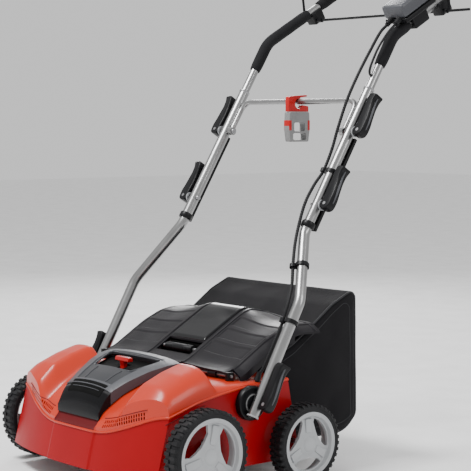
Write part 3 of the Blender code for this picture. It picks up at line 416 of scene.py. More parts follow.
def lathe(profile, centre, segments=96, closed=True, flip=1):
    """Turns (x, r) points about the X axis through a centre; flip mirrors X."""
    bm = bmesh.new()
    rings = []
    for k in range(segments):
        angle = tau * k / segments
        rings.append([bm.verts.new(around(centre, flip * x, r, angle)) for x, r in profile])
    count = len(profile)
    for k in range(segments):
        a = rings[k]
        b = rings[(k + 1) % segments]
        for i in range(count if closed else count - 1):
            j = (i + 1) % count
            bm.faces.new((a[i], a[j], b[j], b[i]))
    bmesh.ops.remove_doubles(bm, verts=bm.verts, dist=1e-7)
    bmesh.ops.dissolve_degenerate(bm, edges=bm.edges, dist=1e-8)
    return bm


def prism(points, axis, start, end, bevel=0.0, segments=3):
    """Extrudes an outline along one axis; the points give the other two."""
    bm = bmesh.new()

    def place(a, b, depth):
        co = [a, b]
        co.insert("xyz".index(axis), depth)
        return bm.verts.new(co)

    low = [place(a, b, start) for a, b in points]
    high = [place(a, b, end) for a, b in points]
    bm.faces.new(low[::-1])
    bm.faces.new(high)
    ring_faces(bm, low, high)
    bmesh.ops.recalc_face_normals(bm, faces=bm.faces)
    if bevel:
        caps = [e for e in bm.edges if e.calc_face_angle(0) > 0.6]
        bmesh.ops.bevel(bm, geom=caps, offset=bevel, segments=segments, affect="EDGES", profile=0.5)
    return bm


def box(low, high, bevel=0.0, segments=3):
    outline = [(low[0], low[1]), (high[0], low[1]), (high[0], high[1]), (low[0], high[1])]
    return prism(outline, "z", low[2], high[2], bevel, segments)


def curved(points):
    """A closed outline of (a, b) points turned into a smooth loop."""
    count = len(points)
    out = []
    for i in range(count):
        four = [Vector(points[(i + k) % count]) for k in (-1, 0, 1, 2)]
        out += [catmull_rom(*four, k / 5) for k in range(5)]
    return [tuple(p) for p in out]


def frame_to_world(bm, origin, x_axis, y_axis, z_axis):
    matrix = Matrix((x_axis, y_axis, z_axis)).transposed().to_4x4()
    matrix.translation = origin
    bmesh.ops.transform(bm, matrix=matrix, verts=bm.verts)
    return bm


def spread(start, end, count):
    return [start + (end - start) * i / count for i in range(count + 1)]


def stretches(marks, counts):
    """Evenly divided stretches between marks, joined into one list."""
    out = [marks[0]]
    for start, end, count in zip(marks, marks[1:], counts):
        out += spread(start, end, count)[1:]
    return out


def both_ways(half):
    """A list that starts at zero, with its mirror image put in front."""
    return [-value for value in half[:0:-1]] + half


def slab(us, vs, top, bottom):
    """A closed solid between two surfaces over the same (u, v) grid."""
    bm = bmesh.new()
    up = [[bm.verts.new(top(u, v)) for v in vs] for u in us]
    down = [[bm.verts.new(bottom(u, v)) for v in vs] for u in us]
    for i in range(len(us) - 1):
        for j in range(len(vs) - 1):
            bm.faces.new((up[i][j], up[i + 1][j], up[i + 1][j + 1], up[i][j + 1]))
            bm.faces.new((down[i][j], down[i][j + 1], down[i + 1][j + 1], down[i + 1][j]))
    for i in range(len(us) - 1):
        bm.faces.new((up[i + 1][0], up[i][0], down[i][0], down[i + 1][0]))
        bm.faces.new((up[i][-1], up[i + 1][-1], down[i + 1][-1], down[i][-1]))
    for j in range(len(vs) - 1):
        bm.faces.new((up[0][j], up[0][j + 1], down[0][j + 1], down[0][j]))
        bm.faces.new((up[-1][j + 1], up[-1][j], down[-1][j], down[-1][j + 1]))
    return bm


def curve_value(points, at):
    if at <= points[0][0]:
        return points[0][1]
    for (a, va), (b, vb) in zip(points, points[1:]):
        if at <= b:
            return va + (vb - va) * (at - a) / (b - a)
    return points[-1][1]


def soft_value(points, at, reach=0.006):
    """The curve read softly, so that its corners turn round."""
    marks = (-1, -0.5, 0, 0.5, 1)
    return sum(curve_value(points, at + reach * m) for m in marks) / len(marks)


def smooth(t):
    t = min(max(t, 0.0), 1.0)
    return t * t * (3 - 2 * t)


# -------------------------------------------------------------------- housing
DECK_HALF = 0.245
DECK_FRONT = -0.477
DECK_BOTTOM = 0.045
DECK_REAR = -0.084
DECK_WALL = 0.004
FRONT_BOW = 0.035
FRONT_LINE = -0.440

# Heights along the machine, front to rear, as (y, z).
PARTING = [(-0.443, 0.153), (-0.385, 0.170), (-0.342, 0.183), (-0.293, 0.192),
           (-0.231, 0.200), (-0.118, 0.203)]
CREST = [(-0.456, 0.150), (-0.440, 0.184), (-0.405, 0.215), (-0.360, 0.233),
         (-0.316, 0.245), (-0.306, 0.243), (-0.298, 0.214), (-0.220, 0.208),
         (-0.118, 0.207)]
TROUGH = [(-0.456, 0.122), (-0.444, 0.146), (-0.400, 0.180), (-0.350, 0.207),
          (-0.312, 0.219), (-0.290, 0.216), (-0.250, 0.208), (-0.118, 0.206)]
COVER_EDGE = [(-0.450, 0.150), (-0.440, 0.172), (-0.424, 0.192), (-0.390, 0.211),
              (-0.348, 0.229), (-0.310, 0.239), (-0.288, 0.241)]
COVER_BACK = -0.288
COVER_FRONT = -0.441


def parting(x, y):
    """Height of the joint between the lower deck and the upper housing."""
    low = 0.037 * (1 - smooth((abs(x) - 0.070) / 0.175))
    return soft_value(PARTING, y, 0.012) - low * smooth((-0.400 - y) / 0.035)


def front_y(u, z):
    lean = 0.26 * (z - DECK_BOTTOM)
    proud = 0.0022 * smooth((0.292 - abs(u)) / 0.014)
    return DECK_FRONT + FRONT_BOW * abs(u) ** 2.5 + lean - proud


def deck_point(u, v, height, inset=0.0):
    rear = DECK_REAR - 0.20 * (height - DECK_BOTTOM)
    front = front_y(u, height) + inset
    return Vector((u * (DECK_HALF - inset), front + (rear - inset * 0.2 - front) * v, height))


def deck_top(u, v, inset=0.0, drop=0.0):
    point = deck_point(u, v, 0.15, inset)
    for _ in range(4):
        point = deck_point(u, v, parting(point.x, point.y) - drop, inset)
    return point


def housing_height(x, y):
    crest = soft_value(CREST, y, 0.004)
    trough = soft_value(TROUGH, y, 0.008)
    edge = parting(x, y) + 0.004
    side = abs(x)
    if side < 0.180:
        return trough + (crest - trough) * smooth((side - 0.118) / 0.040)
    fall = min((side - 0.180) / (DECK_HALF - 0.180), 1.0)
    return edge + (crest - edge) * sqrt(max(1 - fall ** 2.2, 0.0))


def lip_recess(x, y):
    """Depth of the hollow in the front, under the cover's lip."""
    return 0.0040 * smooth((0.0700 - abs(x)) / 0.003) * smooth((-0.4370 - y) / 0.003)


def housing_top(u, v):
    base = deck_top(u, v)
    height = housing_height(base.x, base.y) - lip_recess(base.x, base.y)
    return Vector((base.x, base.y, max(height, parting(base.x, base.y) + 0.004)))


def housing_under(u, v):
    point = housing_top(u, v)
    joint = parting(point.x, point.y) + 0.0008
    if abs(u) > 0.992 or v < 0.006 or v > 0.99:
        return Vector((point.x, point.y, joint))
    return Vector((point.x, point.y, max(joint, point.z - 0.0035)))


def across():
    """Grid lines across the housing, close together over the shoulders."""
    return both_ways(stretches((0, 0.26, 0.30, 0.44, 0.74, 1.0), (6, 6, 5, 24, 20)))


def build_housing():
    us = across()
    vs = stretches((0, 0.36, 0.52, 1.0), (40, 36, 14))
    upper = add_object("housing_top", slab(us, vs, housing_top, housing_under), "red",
                       "upper_housing", sharp=40)
    for side, sign in SIDES:
        ear = box((sign * 0.209 - 0.004, -0.244, 0.205), (sign * 0.209 + 0.004, -0.228, 0.2255),
                  0.0008)
        add_object("flap_ear_" + side, ear, "black", "upper_housing")
    boolean(upper, box((-0.012, -0.352, 0.19), (0.012, -0.322, 0.24)))
    boolean(upper, vent_cutters())
    bore = [(0.2375, -0.1915, 0.2040), (0.2405, -0.1855, 0.2258)]
    boolean(upper, sweep(bore, 0.0041))
    # Faces under the cover's lip take the darkest red: painted shade in the hollow under the lip.
    upper.data.materials.append(MATERIALS["recess_shade_red"])
    for face in upper.data.polygons:
        middle = face.center
        painted_shade_under_lip = abs(middle.x) < 0.0690 and middle.y < -0.4370
        face.material_index = 1 if painted_shade_under_lip else 0
    shade(upper, 32)

    vs = stretches((0, 0.06, 1.0), (4, 34))
    # The lower deck takes the darker copy of the housing red, painted shade on its sides.
    deck = add_object("housing_side", slab(us, vs, deck_top, lambda u, v: deck_point(u, v,
                                                                                     DECK_BOTTOM)),
                      "side_shade_red", "lower_deck")
    boolean(deck, slab(spread(-1, 1, 24), spread(0, 1, 16),
                       lambda u, v: deck_top(u, v * 0.985, DECK_WALL, 0.007),
                       lambda u, v: deck_point(u, v * 0.985, DECK_BOTTOM - 0.01, DECK_WALL)))
    boolean(deck, box((-0.185, -0.16, 0.052), (0.185, -0.05, 0.178)))
    boolean(deck, box((-0.112, -0.386, 0.13), (0.112, -0.296, 0.25)))
    for y, z in ((-0.330, 0.106), (-0.103, 0.080)):
        boolean(deck, sweep([(-0.26, y, z), (0.26, y, z)], 0.0065))
    shade(deck, 35)


def join_into(bm, part):
    mesh = bpy.data.meshes.new("part")
    part.to_mesh(mesh)
    part.free()
    bm.from_mesh(mesh)
    bpy.data.meshes.remove(mesh)


def surface_y(x, z):
    """Where the steep front of the upper housing reaches a height."""
    low = -0.4600
    high = -0.4100
    for _ in range(24):
        middle = (low + high) / 2
        if housing_height(x, middle) > z:
            high = middle
        else:
            low = middle
    return low


def front_face(x, rise):
    """(y, z) of the housing's front at a height above the joint of the shells."""
    joint = parting(x, FRONT_LINE)
    z = joint + rise
    return max(surface_y(x, z), front_y(x / DECK_HALF, joint)), z


def vent_cutters():
    """Two rows of fine upright slots over the joint, on both sides of the front."""
    bm = bmesh.new()
    for _, sign in SIDES:
        for k in range(19):
            x = sign * (0.092 + 0.0056 * k)
            for rise in (0.0105, 0.0180):
                y, z = front_face(x, rise)
                join_into(bm, box((x - 0.0014, y - 0.004, z - 0.0030),
                                  (x + 0.0014, y + 0.0024, z + 0.0030)))
    return bm


def build_flange():
    """The raised bead that runs along the joint of the two shells."""
    path = []
    for v in spread(1, 0, 60):
        path.append(deck_top(1, v) + Vector((0.0004, 0, 0.0004)))
    for u in spread(1, -1, 80)[1:-1]:
        path.append(deck_top(u, 0) + Vector((0, -0.0004, 0.0004)))
    for v in spread(0, 1, 60):
        path.append(deck_top(-1, v) + Vector((-0.0004, 0, 0.0004)))
    add_object("housing_flange", sweep(path, 0.0024, sides=12), "red", "lower_deck")
    for side, sign in SIDES:
        line = []
        for x in spread(0.086, 0.200, 30):
            y, z = front_face(x, 0.0245)
            line.append((sign * x, y - 0.0002, z))
        # A thin dark red line above the slots: painted shade along the top of the vent band.
        add_object("vent_line_" + side, sweep(line, 0.0007, sides=8), "recess_shade_red", "upper_housing")
    # Thin dark red lines along the sides: painted shade in two grooves.
    for drop, name in ((0.010, "groove_high"), (0.043, "groove_low")):
        for side, sign in SIDES:
            line = []
            for y in spread(-0.420, -0.326, 20):
                line.append((sign * (DECK_HALF - 0.0004), y, parting(DECK_HALF, y) - drop))
            add_object("housing_%s_%s" % (name, side), sweep(line, 0.0011, sides=8), "recess_shade_red",
                       "lower_deck")


def build_step_shade():
    """A thin dark red sheet over the step behind each crest: painted shade."""
    def top(x, y):
        return Vector((x, y, housing_height(x, y) + 0.0006))

    def under(x, y):
        return Vector((x, y, housing_height(x, y) - 0.001))

    for side, sign in SIDES:
        xs = [sign * x for x in spread(0.162, 0.232, 16)]
        bm = slab(xs, spread(-0.3075, -0.2965, 14), top, under)
        add_object("shoulder_shade_" + side, bm, "recess_shade_red", "upper_housing")


# ---------------------------------------------------------------- motor cover
def cover_half(y):
    share = (y - COVER_FRONT) / (COVER_BACK - COVER_FRONT)
    return 0.070 + 0.052 * smooth(share * 0.8 + 0.1)


def cover_point(u, y, sink=0.0):
    height = soft_value(COVER_EDGE, y, 0.006) + 0.006 * (1 - u * u) - 0.003 * abs(u) ** 6
    return Vector((u * cover_half(y), y, height - sink))


def seat_height(x, y):
    return max(housing_height(x, y), parting(x, y) + 0.004)


PANEL_FRONT = -0.4120
PANEL_BACK = -0.3010


def in_panel(u, y):
    """1 on the sunk middle of the cover and 0 on the rails round it."""
    sides = smooth((0.76 - abs(u)) / 0.035)
    ends = smooth((y - PANEL_FRONT) / 0.003) * smooth((PANEL_BACK - y) / 0.003)
    return sides * ends


def build_motor_cover():
    start = -0.4235
    us = stretches((-1, -0.70, 0.70, 1), (22, 30, 22))
    vs = stretches((0, 0.12, 0.88, 1), (16, 34, 16))

    def at(v):
        return start + (COVER_BACK - start) * v

    def top(u, v):
        return cover_point(u, at(v), 0.0022 * in_panel(u, at(v)))

    def under(u, v):
        point = cover_point(u, at(v))
        seat = seat_height(point.x, point.y) + 0.0030
        if abs(u) > 0.98 or v < 0.01 or v > 0.99:
            return Vector((point.x, point.y, min(seat, point.z - 0.001)))
        return Vector((point.x, point.y, max(min(seat, point.z - 0.0045), point.z - 0.0060)))

    cover = add_object("cover_shell", slab(us, vs, top, under), "cover", "motor_cover", sharp=30)
    hole = rounded_outline([(-0.062, -0.366), (0.062, -0.366), (0.088, -0.306),
                            (-0.088, -0.306)], 0.006)
    boolean(cover, prism(hole, "z", 0.18, 0.27))
    cover.data.materials.append(MATERIALS["panel"])
    for face in cover.data.polygons:
        centre = face.center
        share = centre.x / cover_half(centre.y)
        face.material_index = 1 if in_panel(share, centre.y) > 0.6 and face.normal.z > 0.6 else 0
    shade(cover, 30)
    rim = [cover_height(x, y, 0.0003) for x, y in hole]
    rim.append(rim[0])
    add_object("cover_hole_edge", sweep(rim, 0.0011, sides=10), "cover", "motor_cover")
    for k, share in enumerate((-0.44, 0.44)):
        line = [cover_point(share, y, 0.0016) for y in spread(-0.409, -0.372, 12)]
        add_object("cover_line_%d" % k, sweep(line, 0.0007, sides=8), "cover", "motor_cover")


def cover_height(x, y, lift):
    point = cover_point(x / cover_half(y), y, 0.0022)
    return Vector((x, y, point.z + lift))


def rounded_outline(points, radius):
    """A closed (a, b) outline with arcs in place of its corners."""
    count = len(points)
    out = []
    for i in range(count):
        trio = [(*points[(i + k) % count], 0) for k in (-1, 0, 1)]
        out += [(p.x, p.y) for p in rounded(trio, radius, 6)[1:-1]]
    return out


def build_cover_lip():
    """Ribbed band that closes the cover at the front."""
    def at(v):
        return -0.4495 + 0.0255 * v

    def top(u, v):
        ribs = 0.0008 * cos(tau * u * 34)
        return cover_point(u, at(v), 0.0012 - ribs * smooth(v * 5) * smooth((1 - v) * 5))

    def under(u, v):
        point = cover_point(u, at(v), 0.0012)
        seat = seat_height(point.x, point.y)
        return Vector((point.x, point.y, min(seat + 0.0016, point.z - 0.002)))

    add_object("cover_ribs", slab(spread(-1, 1, 272), spread(0, 1, 12), top, under), "black",
               "cover_lip", sharp=60)
    bead = [cover_point(u, -0.4238, -0.0006) for u in spread(-1, 1, 40)]
    add_object("cover_bead", sweep(bead, 0.0012, sides=10), "cover", "cover_lip")


def build_brow_shade():
    """A thin dark sheet across the cover's front, painted shade for the hollow there, with one light
    line in it.
    """
    def top(u, v):
        return cover_point(u, -0.4365 + 0.0200 * v, 0.0004 - 0.0010)

    def under(u, v):
        return top(u, v) - Vector((0, 0, 0.002))

    add_object("cover_brow", slab(spread(-0.74, 0.74, 30), spread(0, 1, 10), top, under), "hollow_shade",
               "cover_lip")
    line = [cover_point(u, -0.4300, -0.0012) for u in spread(-0.60, 0.60, 30)]
    add_object("cover_brow_line", sweep(line, 0.0006, sides=8), "cover", "cover_lip")


def build_depth_lever():
    outline = rounded_outline([(-0.3435, 0.2050), (-0.3325, 0.2050), (-0.3345, 0.2240),
                               (-0.3310, 0.2360), (-0.3440, 0.2360), (-0.3420, 0.2240)], 0.0012)
    lever = add_object("depth_knob", prism(outline, "x", -0.0065, 0.0065, 0.0008), "red_control",
                       "depth_lever")
    handle = rounded_outline([(-0.3445, 0.2332), (-0.3300, 0.2332), (-0.3320, 0.2418),
                              (-0.3425, 0.2418)], 0.002)
    boolean(lever, prism(handle, "x", -0.0220, 0.0220, 0.0012), "UNION")
    boolean(lever, sweep([(-0.016, -0.338, 0.2075), (0.016, -0.338, 0.2075)], 0.0020), "UNION")
    shade(lever, 35)
    dot = sweep([(0.012, -0.3372, 0.2410), (0.012, -0.3372, 0.2421)], 0.0022)
    add_object("depth_mark", dot, "rim", "depth_lever")


# --------------------------------------------------------------------- wheels
FRONT_AXLE = (0, -0.352, 0.089)
REAR_AXLE = (0, -0.103, 0.080)
OUT = 0.300
TYRE_DEPTH = 0.0155
WIDTH = 0.038
TREAD_BLOCKS = 40


def build_rim(tag, centre, radius, sign, turn):
    edge = radius - TYRE_DEPTH
    back = OUT - WIDTH + 0.003
    profile = [(OUT - 0.0015, 0), (OUT - 0.0020, 0.010), (OUT - 0.0035, 0.0145),
               (OUT - 0.0052, 0.0165), (OUT - 0.0052, 0.0180), (OUT - 0.0062, 0.0200),
               (OUT - 0.0085, 0.0245), (OUT - 0.0100, edge - 0.0140),
               (OUT - 0.0080, edge - 0.0105), (OUT - 0.0015, edge - 0.0080),
               (OUT - 0.0008, edge - 0.0060), (OUT - 0.0012, edge - 0.0045),
               (OUT - 0.0004, edge - 0.0030), (OUT - 0.0004, edge - 0.0004),
               (back, edge - 0.0004), (back, edge - 0.005), (OUT - 0.016, edge - 0.008),
               (OUT - 0.015, 0.017), (back + 0.001, 0.013), (back + 0.001, 0.0055),
               (OUT - 0.0075, 0.0055), (OUT - 0.0075, 0)]
    bm = lathe(profile, centre, 120, closed=False, flip=sign)
    rim = add_object("disc_" + tag, bm, "rim", "rim_" + tag)
    reach = edge - 0.0125
    for k in range(3):
        middle = radians(turn + 60 + 120 * k)
        outline = []
        for i in range(19):
            outline.append((reach, middle + radians(-41 + 82 * i / 18)))
        outline += [(0.044, middle + radians(41)), (0.033, middle + radians(26)),
                    (0.0275, middle), (0.033, middle - radians(26)),
                    (0.044, middle - radians(41))]
        points = [around(centre, 0, r, a)[1:] for r, a in outline]
        low, high = sorted((sign * (back - 0.01), sign * (OUT + 0.01)))
        boolean(rim, prism(points, "x", low, high))
        spoke = radians(turn + 120 * k)
        wide = [(0.0225, -0.0065), (0.0225, 0.0065), (reach - 0.002, 0.0085),
                (reach - 0.002, -0.0085)]
        web = [(centre[1] + r * cos(spoke) - w * sin(spoke),
                centre[2] + r * sin(spoke) + w * cos(spoke)) for r, w in wide]
        low, high = sorted((sign * (OUT - 0.0130), sign * (OUT - 0.0065)))
        boolean(rim, prism(web, "x", low, high, 0.0012), "UNION")
    shade(rim, 32)
    round_edges(rim, 0.0007)


def build_tyre(tag, centre, radius, sign):
    """Tyre with a ringed side wall and two rows of staggered tread blocks."""
    inner = radius - TYRE_DEPTH
    back = OUT - WIDTH
    low = radius - 0.0026
    profile = [(OUT - 0.0008, inner), (OUT - 0.0002, inner + 0.0022), (OUT - 0.0010, inner + 0.004),
               (OUT - 0.0010, radius - 0.0085), (OUT - 0.0002, radius - 0.0078),
               (OUT - 0.0008, radius - 0.0062), (OUT - 0.0040, low - 0.0008),
               (OUT - 0.0110, low), (back + 0.0110, low), (back + 0.0040, low - 0.0008),
               (back + 0.0006, radius - 0.0062), (back, radius - 0.0078), (back, inner)]
    bm = lathe(profile, centre, 144, flip=sign)
    for row, (near, far) in enumerate(((OUT - 0.0012, OUT - 0.0175), (OUT - 0.0205, back + 0.0012))):
        for k in range(TREAD_BLOCKS):
            start = tau * (k + 0.5 * row) / TREAD_BLOCKS
            join_into(bm, tread_block(centre, radius, sign, near, far, start, row))
    add_object("rubber_" + tag, bm, "tyre", "tyre_" + tag)


def tread_block(centre, radius, sign, near, far, start, row):
    bm = bmesh.new()
    share = tau / TREAD_BLOCKS
    rings = []
    for x, deep in ((near, 1), (far, 0)) if row == 0 else ((near, 0), (far, 1)):
        low = radius - 0.0075 if deep else radius - 0.0032
        high = radius - 0.0040 if deep else radius - 0.0001
        middle = (near + far) / 2
        rings.append([(x, low, 0.10), (x, low, 0.72), (x, high, 0.64), (x, high, 0.18)])
        if deep:
            part = x + (middle - x) * 0.35
            shoulder = [(part, low, 0.08), (part, low, 0.74), (part, radius, 0.66),
                        (part, radius, 0.16)]
            rings.append(shoulder)
    rings.sort(key=lambda ring: -ring[0][0])
    loops = []
    for ring in rings:
        loops.append([bm.verts.new(around(centre, sign * x, r, start + share * at))
                      for x, r, at in ring])
    loft(bm, loops)
    bmesh.ops.recalc_face_normals(bm, faces=bm.faces)
    return bm


def build_wheels():
    for end, axle, radius, turn in (("front", FRONT_AXLE, 0.089, 75),
                                    ("rear", REAR_AXLE, 0.080, 90)):
        for side, sign in SIDES:
            tag = "%s_%s" % (end, side)
            build_rim(tag, axle, radius, sign, turn)
            build_tyre(tag, axle, radius, sign)


# ------------------------------------------------------------------ rear flap
FLAP_MIDDLE = [(-0.242, 0.228), (-0.215, 0.240), (-0.172, 0.266), (-0.112, 0.300),
               (-0.075, 0.320), (-0.060, 0.3225), (-0.010, 0.3115)]
FLAP_SIDE = [(-0.242, 0.226), (-0.215, 0.234), (-0.164, 0.265), (-0.135, 0.282),
             (-0.090, 0.301), (-0.060, 0.3055), (-0.010, 0.304)]
FLAP_HINGE = (-0.236, 0.218)
RECESS = (-0.214, -0.176)
RECESS_HALF = 0.056
ROLLER = (-0.193, 0.2465)


def flap_height(x, y):
    side = abs(x)
    share = smooth((side - 0.058) / 0.10)
    middle = soft_value(FLAP_MIDDLE, y, 0.008)
    height = middle * (1 - share) + soft_value(FLAP_SIDE, y, 0.008) * share
    return height - 0.016 * max((side - 0.185) / 0.040, 0) ** 2


def flap_step(x, y):
    """Small changes of level: side ridges, bands across both wings, edge rails."""
    side = abs(x)
    ridge = 0.0022 * smooth((0.004 - abs(side - 0.0665)) / 0.0012)
    bands = 0.0
    if 0.074 < side < 0.196:
        for start, stop in ((-0.196, -0.166), (-0.158, -0.128), (-0.120, -0.092)):
            bands = max(bands, smooth((y - start) / 0.002) * smooth((stop - y) / 0.002))
        bands *= smooth((side - 0.074) / 0.002) * smooth((0.196 - side) / 0.002)
    rail = 0.0016 * smooth((0.0025 - abs(side - 0.203)) / 0.001)
    rear = 0.0014 * smooth((0.004 - abs(y + 0.022)) / 0.001)
    return max(ridge, rail, rear) - 0.0014 * bands


def build_rear_flap():
    xs = both_ways(stretches((0, 0.056, 0.080, 0.190, 0.225), (5, 22, 14, 30)))
    ys = spread(-0.242, -0.010, 116)

    def top(x, y):
        high = flap_height(x, y)
        if y < -0.105:
            high = max(high, housing_height(x, y) + 0.0042)
        return Vector((x, y, high + flap_step(x, y)))

    def under(x, y):
        drop = 0.004
        if abs(x) > 0.2230 and -0.225 < y < -0.08:
            drop += 0.012
        low = flap_height(x, y) - drop
        if y < -0.105:
            low = max(low, housing_height(x, y) + 0.0016)
        return Vector((x, y, min(low, top(x, y).z - 0.0012)))

    flap = add_object("flap_shell", slab(xs, ys, top, under), "flap", "rear_flap", sharp=30)
    boolean(flap, box((-RECESS_HALF, RECESS[0], 0.20), (RECESS_HALF, RECESS[1], 0.30)))
    for _, sign in SIDES:
        inner, outer = sorted((sign * 0.2035, sign * 0.2300))
        boolean(flap, box((inner, -0.246, 0.190), (outer, -0.2222, 0.245)))
    for x in (-0.16, 0.16):
        lug = [(x - 0.012, *FLAP_HINGE), (x + 0.012, *FLAP_HINGE)]
        boolean(flap, sweep(lug, 0.0068), "UNION")
    boolean(flap, sweep([(-0.3, *FLAP_HINGE), (0.3, *FLAP_HINGE)], 0.0033))
    shade(flap, 30)

    def panel_top(u, v):
        x = u * (0.0545 + 0.001 * v)
        y = RECESS[1] + 0.0015 + (-0.0135 - RECESS[1]) * v
        edge = smooth((1 - abs(u)) / 0.06) * smooth(v / 0.03) * smooth((1 - v) / 0.03)
        return Vector((x, y, flap_height(x, y) + 0.0012 + 0.0028 * edge))

    def panel_under(u, v):
        point = panel_top(u, v)
        return Vector((point.x, point.y, flap_height(point.x, point.y) - 0.001))

    us = stretches((-1, -0.92, 0.92, 1), (6, 20, 6))
    vs = stretches((0, 0.05, 0.95, 1), (5, 60, 5))
    add_object("flap_panel", slab(us, vs, panel_top, panel_under), "gloss", "rear_flap")


def build_flap_grip():
    """Ribbed rubber roller on two thin journals."""
    ends = [(x, *ROLLER) for x in (-0.055, 0.055)]
    add_object("flap_roll_pin", sweep(ends, 0.0040, sides=24), "steel", "flap_grip")
    xs = spread(-0.0430, 0.0430, 120)
    radii = []
    for x in xs:
        ribbed = 0.0008 * (1 + cos(tau * x / 0.0043)) / 2
        radii.append(0.0084 + (ribbed if abs(x) > 0.018 else 0.0006))
    radii[0] = radii[-1] = 0.0072
    path = [(x, *ROLLER) for x in xs]
    add_object("flap_roll", sweep(path, radii, sides=40), "black", "flap_grip", sharp=70)


# ------------------------------------------------------------------ catch bag
BAG_HALF = 0.200
BAG_REAR = 0.116
BAG_BOTTOM = 0.066
SIDE_ROUND = 0.011


def bag_side(inset):
    """Side outline from the mouth's lower edge round the rear to its upper edge."""
    i = inset
    corners = [(-0.0740, BAG_BOTTOM + i), (0.086, BAG_BOTTOM + i), (BAG_REAR + 0.004 - i, 0.100),
               (BAG_REAR + 0.002 - i, 0.230), (BAG_REAR - i, 0.3670 - i),
               (0.050, 0.3385 - i), (0.000, 0.3040 - i), (-0.060, 0.2650 - i),
               (-0.1040, 0.2450 - i)]
    radii = [0.060, 0.018, 0.20, 0.014, 0.05, 0.10, 0.10]
    path = rounded([(0, y, z) for y, z in corners], radii, 8)
    return even_points(path, 132)


def even_points(path, count):
    """The same line as a fixed number of evenly spaced points."""
    lengths = [0.0]
    for a, b in zip(path, path[1:]):
        lengths.append(lengths[-1] + (b - a).length)
    out = []
    i = 0
    for k in range(count):
        at = lengths[-1] * k / (count - 1)
        while i < len(path) - 2 and lengths[i + 1] < at:
            i += 1
        step = max(lengths[i + 1] - lengths[i], 1e-9)
        out.append(path[i].lerp(path[i + 1], (at - lengths[i]) / step))
    return out


def cloth_ripple(point):
    """Slow folds of slack cloth, in metres."""
    a = sin(31 * point.x + 9 * point.z) * sin(23 * point.z - 14 * point.y + 0.7)
    b = sin(58 * point.y + 21 * point.z + 1.3) * sin(17 * point.x + 37 * point.z)
    return 0.0015 * a + 0.0009 * b


def bag_rings():
    """Open rings of points across the bag, one from each side panel's middle to the other."""
    rings = []
    turns = [radians(90 * k / 6) for k in range(7)]
    edge = bag_side(SIDE_ROUND)
    middle = Vector((0, 0.010, 0.180))
    for k in range(12):
        share = (k + 1) / 13
        bulge = 0.0035 * (1 - share * share)
        rings.append([(BAG_HALF + bulge, middle.lerp(p, share)) for p in edge])
    for turn in turns[::-1]:
        inset = SIDE_ROUND * (1 - cos(turn))
        x = BAG_HALF - SIDE_ROUND + SIDE_ROUND * sin(turn)
        rings.append([(x, p) for p in bag_side(inset)])
    flat = BAG_HALF - SIDE_ROUND
    plain = bag_side(0)
    for x in spread(flat, -flat, 44)[1:-1]:
        rings.append([(x, p) for p in plain])
    for ring in rings[18::-1]:
        rings.append([(-x, p) for x, p in ring])
    return rings


def sagged(x, point):
    """Moves a point of the bag's skin as hanging cloth would lie."""
    u = min(abs(x) / BAG_HALF, 1.0)
    hang = 1 - u ** 3
    y = point.y
    z = point.z
    lower = smooth((0.110 - z) / 0.04) * smooth((y + 0.074) / 0.05)
    upper = smooth((z - 0.24) / 0.03) * smooth((y + 0.090) / 0.04) * smooth((0.112 - y) / 0.03)
    behind = smooth((y - 0.095) / 0.02) * smooth((z - 0.09) / 0.06) * smooth((0.35 - z) / 0.06)
    ripple = cloth_ripple(Vector((x, y, z))) * smooth((y + 0.095) / 0.04)
    seam = smooth((1 - u) / 0.05) if u < 1 else 0.0
    side = 1.0 if abs(x) >= BAG_HALF else 0.0
    out = Vector((x, y, z))
    out.z -= 0.0055 * hang * lower
    out.z -= (0.0045 * hang + abs(ripple) * seam) * upper
    out.y += (0.0040 * hang + ripple * seam) * behind
    out.x += copysign(ripple * side, x)
    return out


def build_bag():
    bm = bmesh.new()
    rings = [[bm.verts.new(sagged(x, p)) for x, p in ring] for ring in bag_rings()]
    for a, b in zip(rings, rings[1:]):
        for i in range(len(a) - 1):
            bm.faces.new((a[i], a[i + 1], b[i + 1], b[i]))
    for ring in (rings[0], rings[-1]):
        bm.faces.new(ring)
    for closing in (rings[:19], rings[-19:]):
        for a, b in zip(closing, closing[1:]):
            bm.faces.new((a[-1], a[0], b[0], b[-1]))
    bag = add_object("bag_skin", bm, "bag", "catch_bag", sharp=80)
    thick = bag.modifiers.new("thick", "SOLIDIFY")
    thick.thickness = 0.0022
    thick.offset = -1
    apply_modifiers(bag)
    for side, sign in SIDES:
        for name, x, inset, radius in (("piping", BAG_HALF - 0.0030, 0.0018, 0.0023),
                                       ("stitch", BAG_HALF + 0.0003, 0.0200, 0.0008)):
            line = [sagged(sign * x, p) for p in bag_side(inset)]
            seam = add_object("bag_%s_%s" % (name, side), sweep(line, radius, sides=10), "piping",
                              "catch_bag")
    for name, at in (("high", 0.318), ("low", 0.105)):
        line = []
        for x in spread(-BAG_HALF + 0.006, BAG_HALF - 0.006, 60):
            line.append(sagged(x, Vector((0, BAG_REAR + 0.0018, at))) + Vector((0, 0.0008, 0)))
        seam = add_object("bag_seam_" + name, sweep(line, 0.0009, sides=8), "piping", "catch_bag")


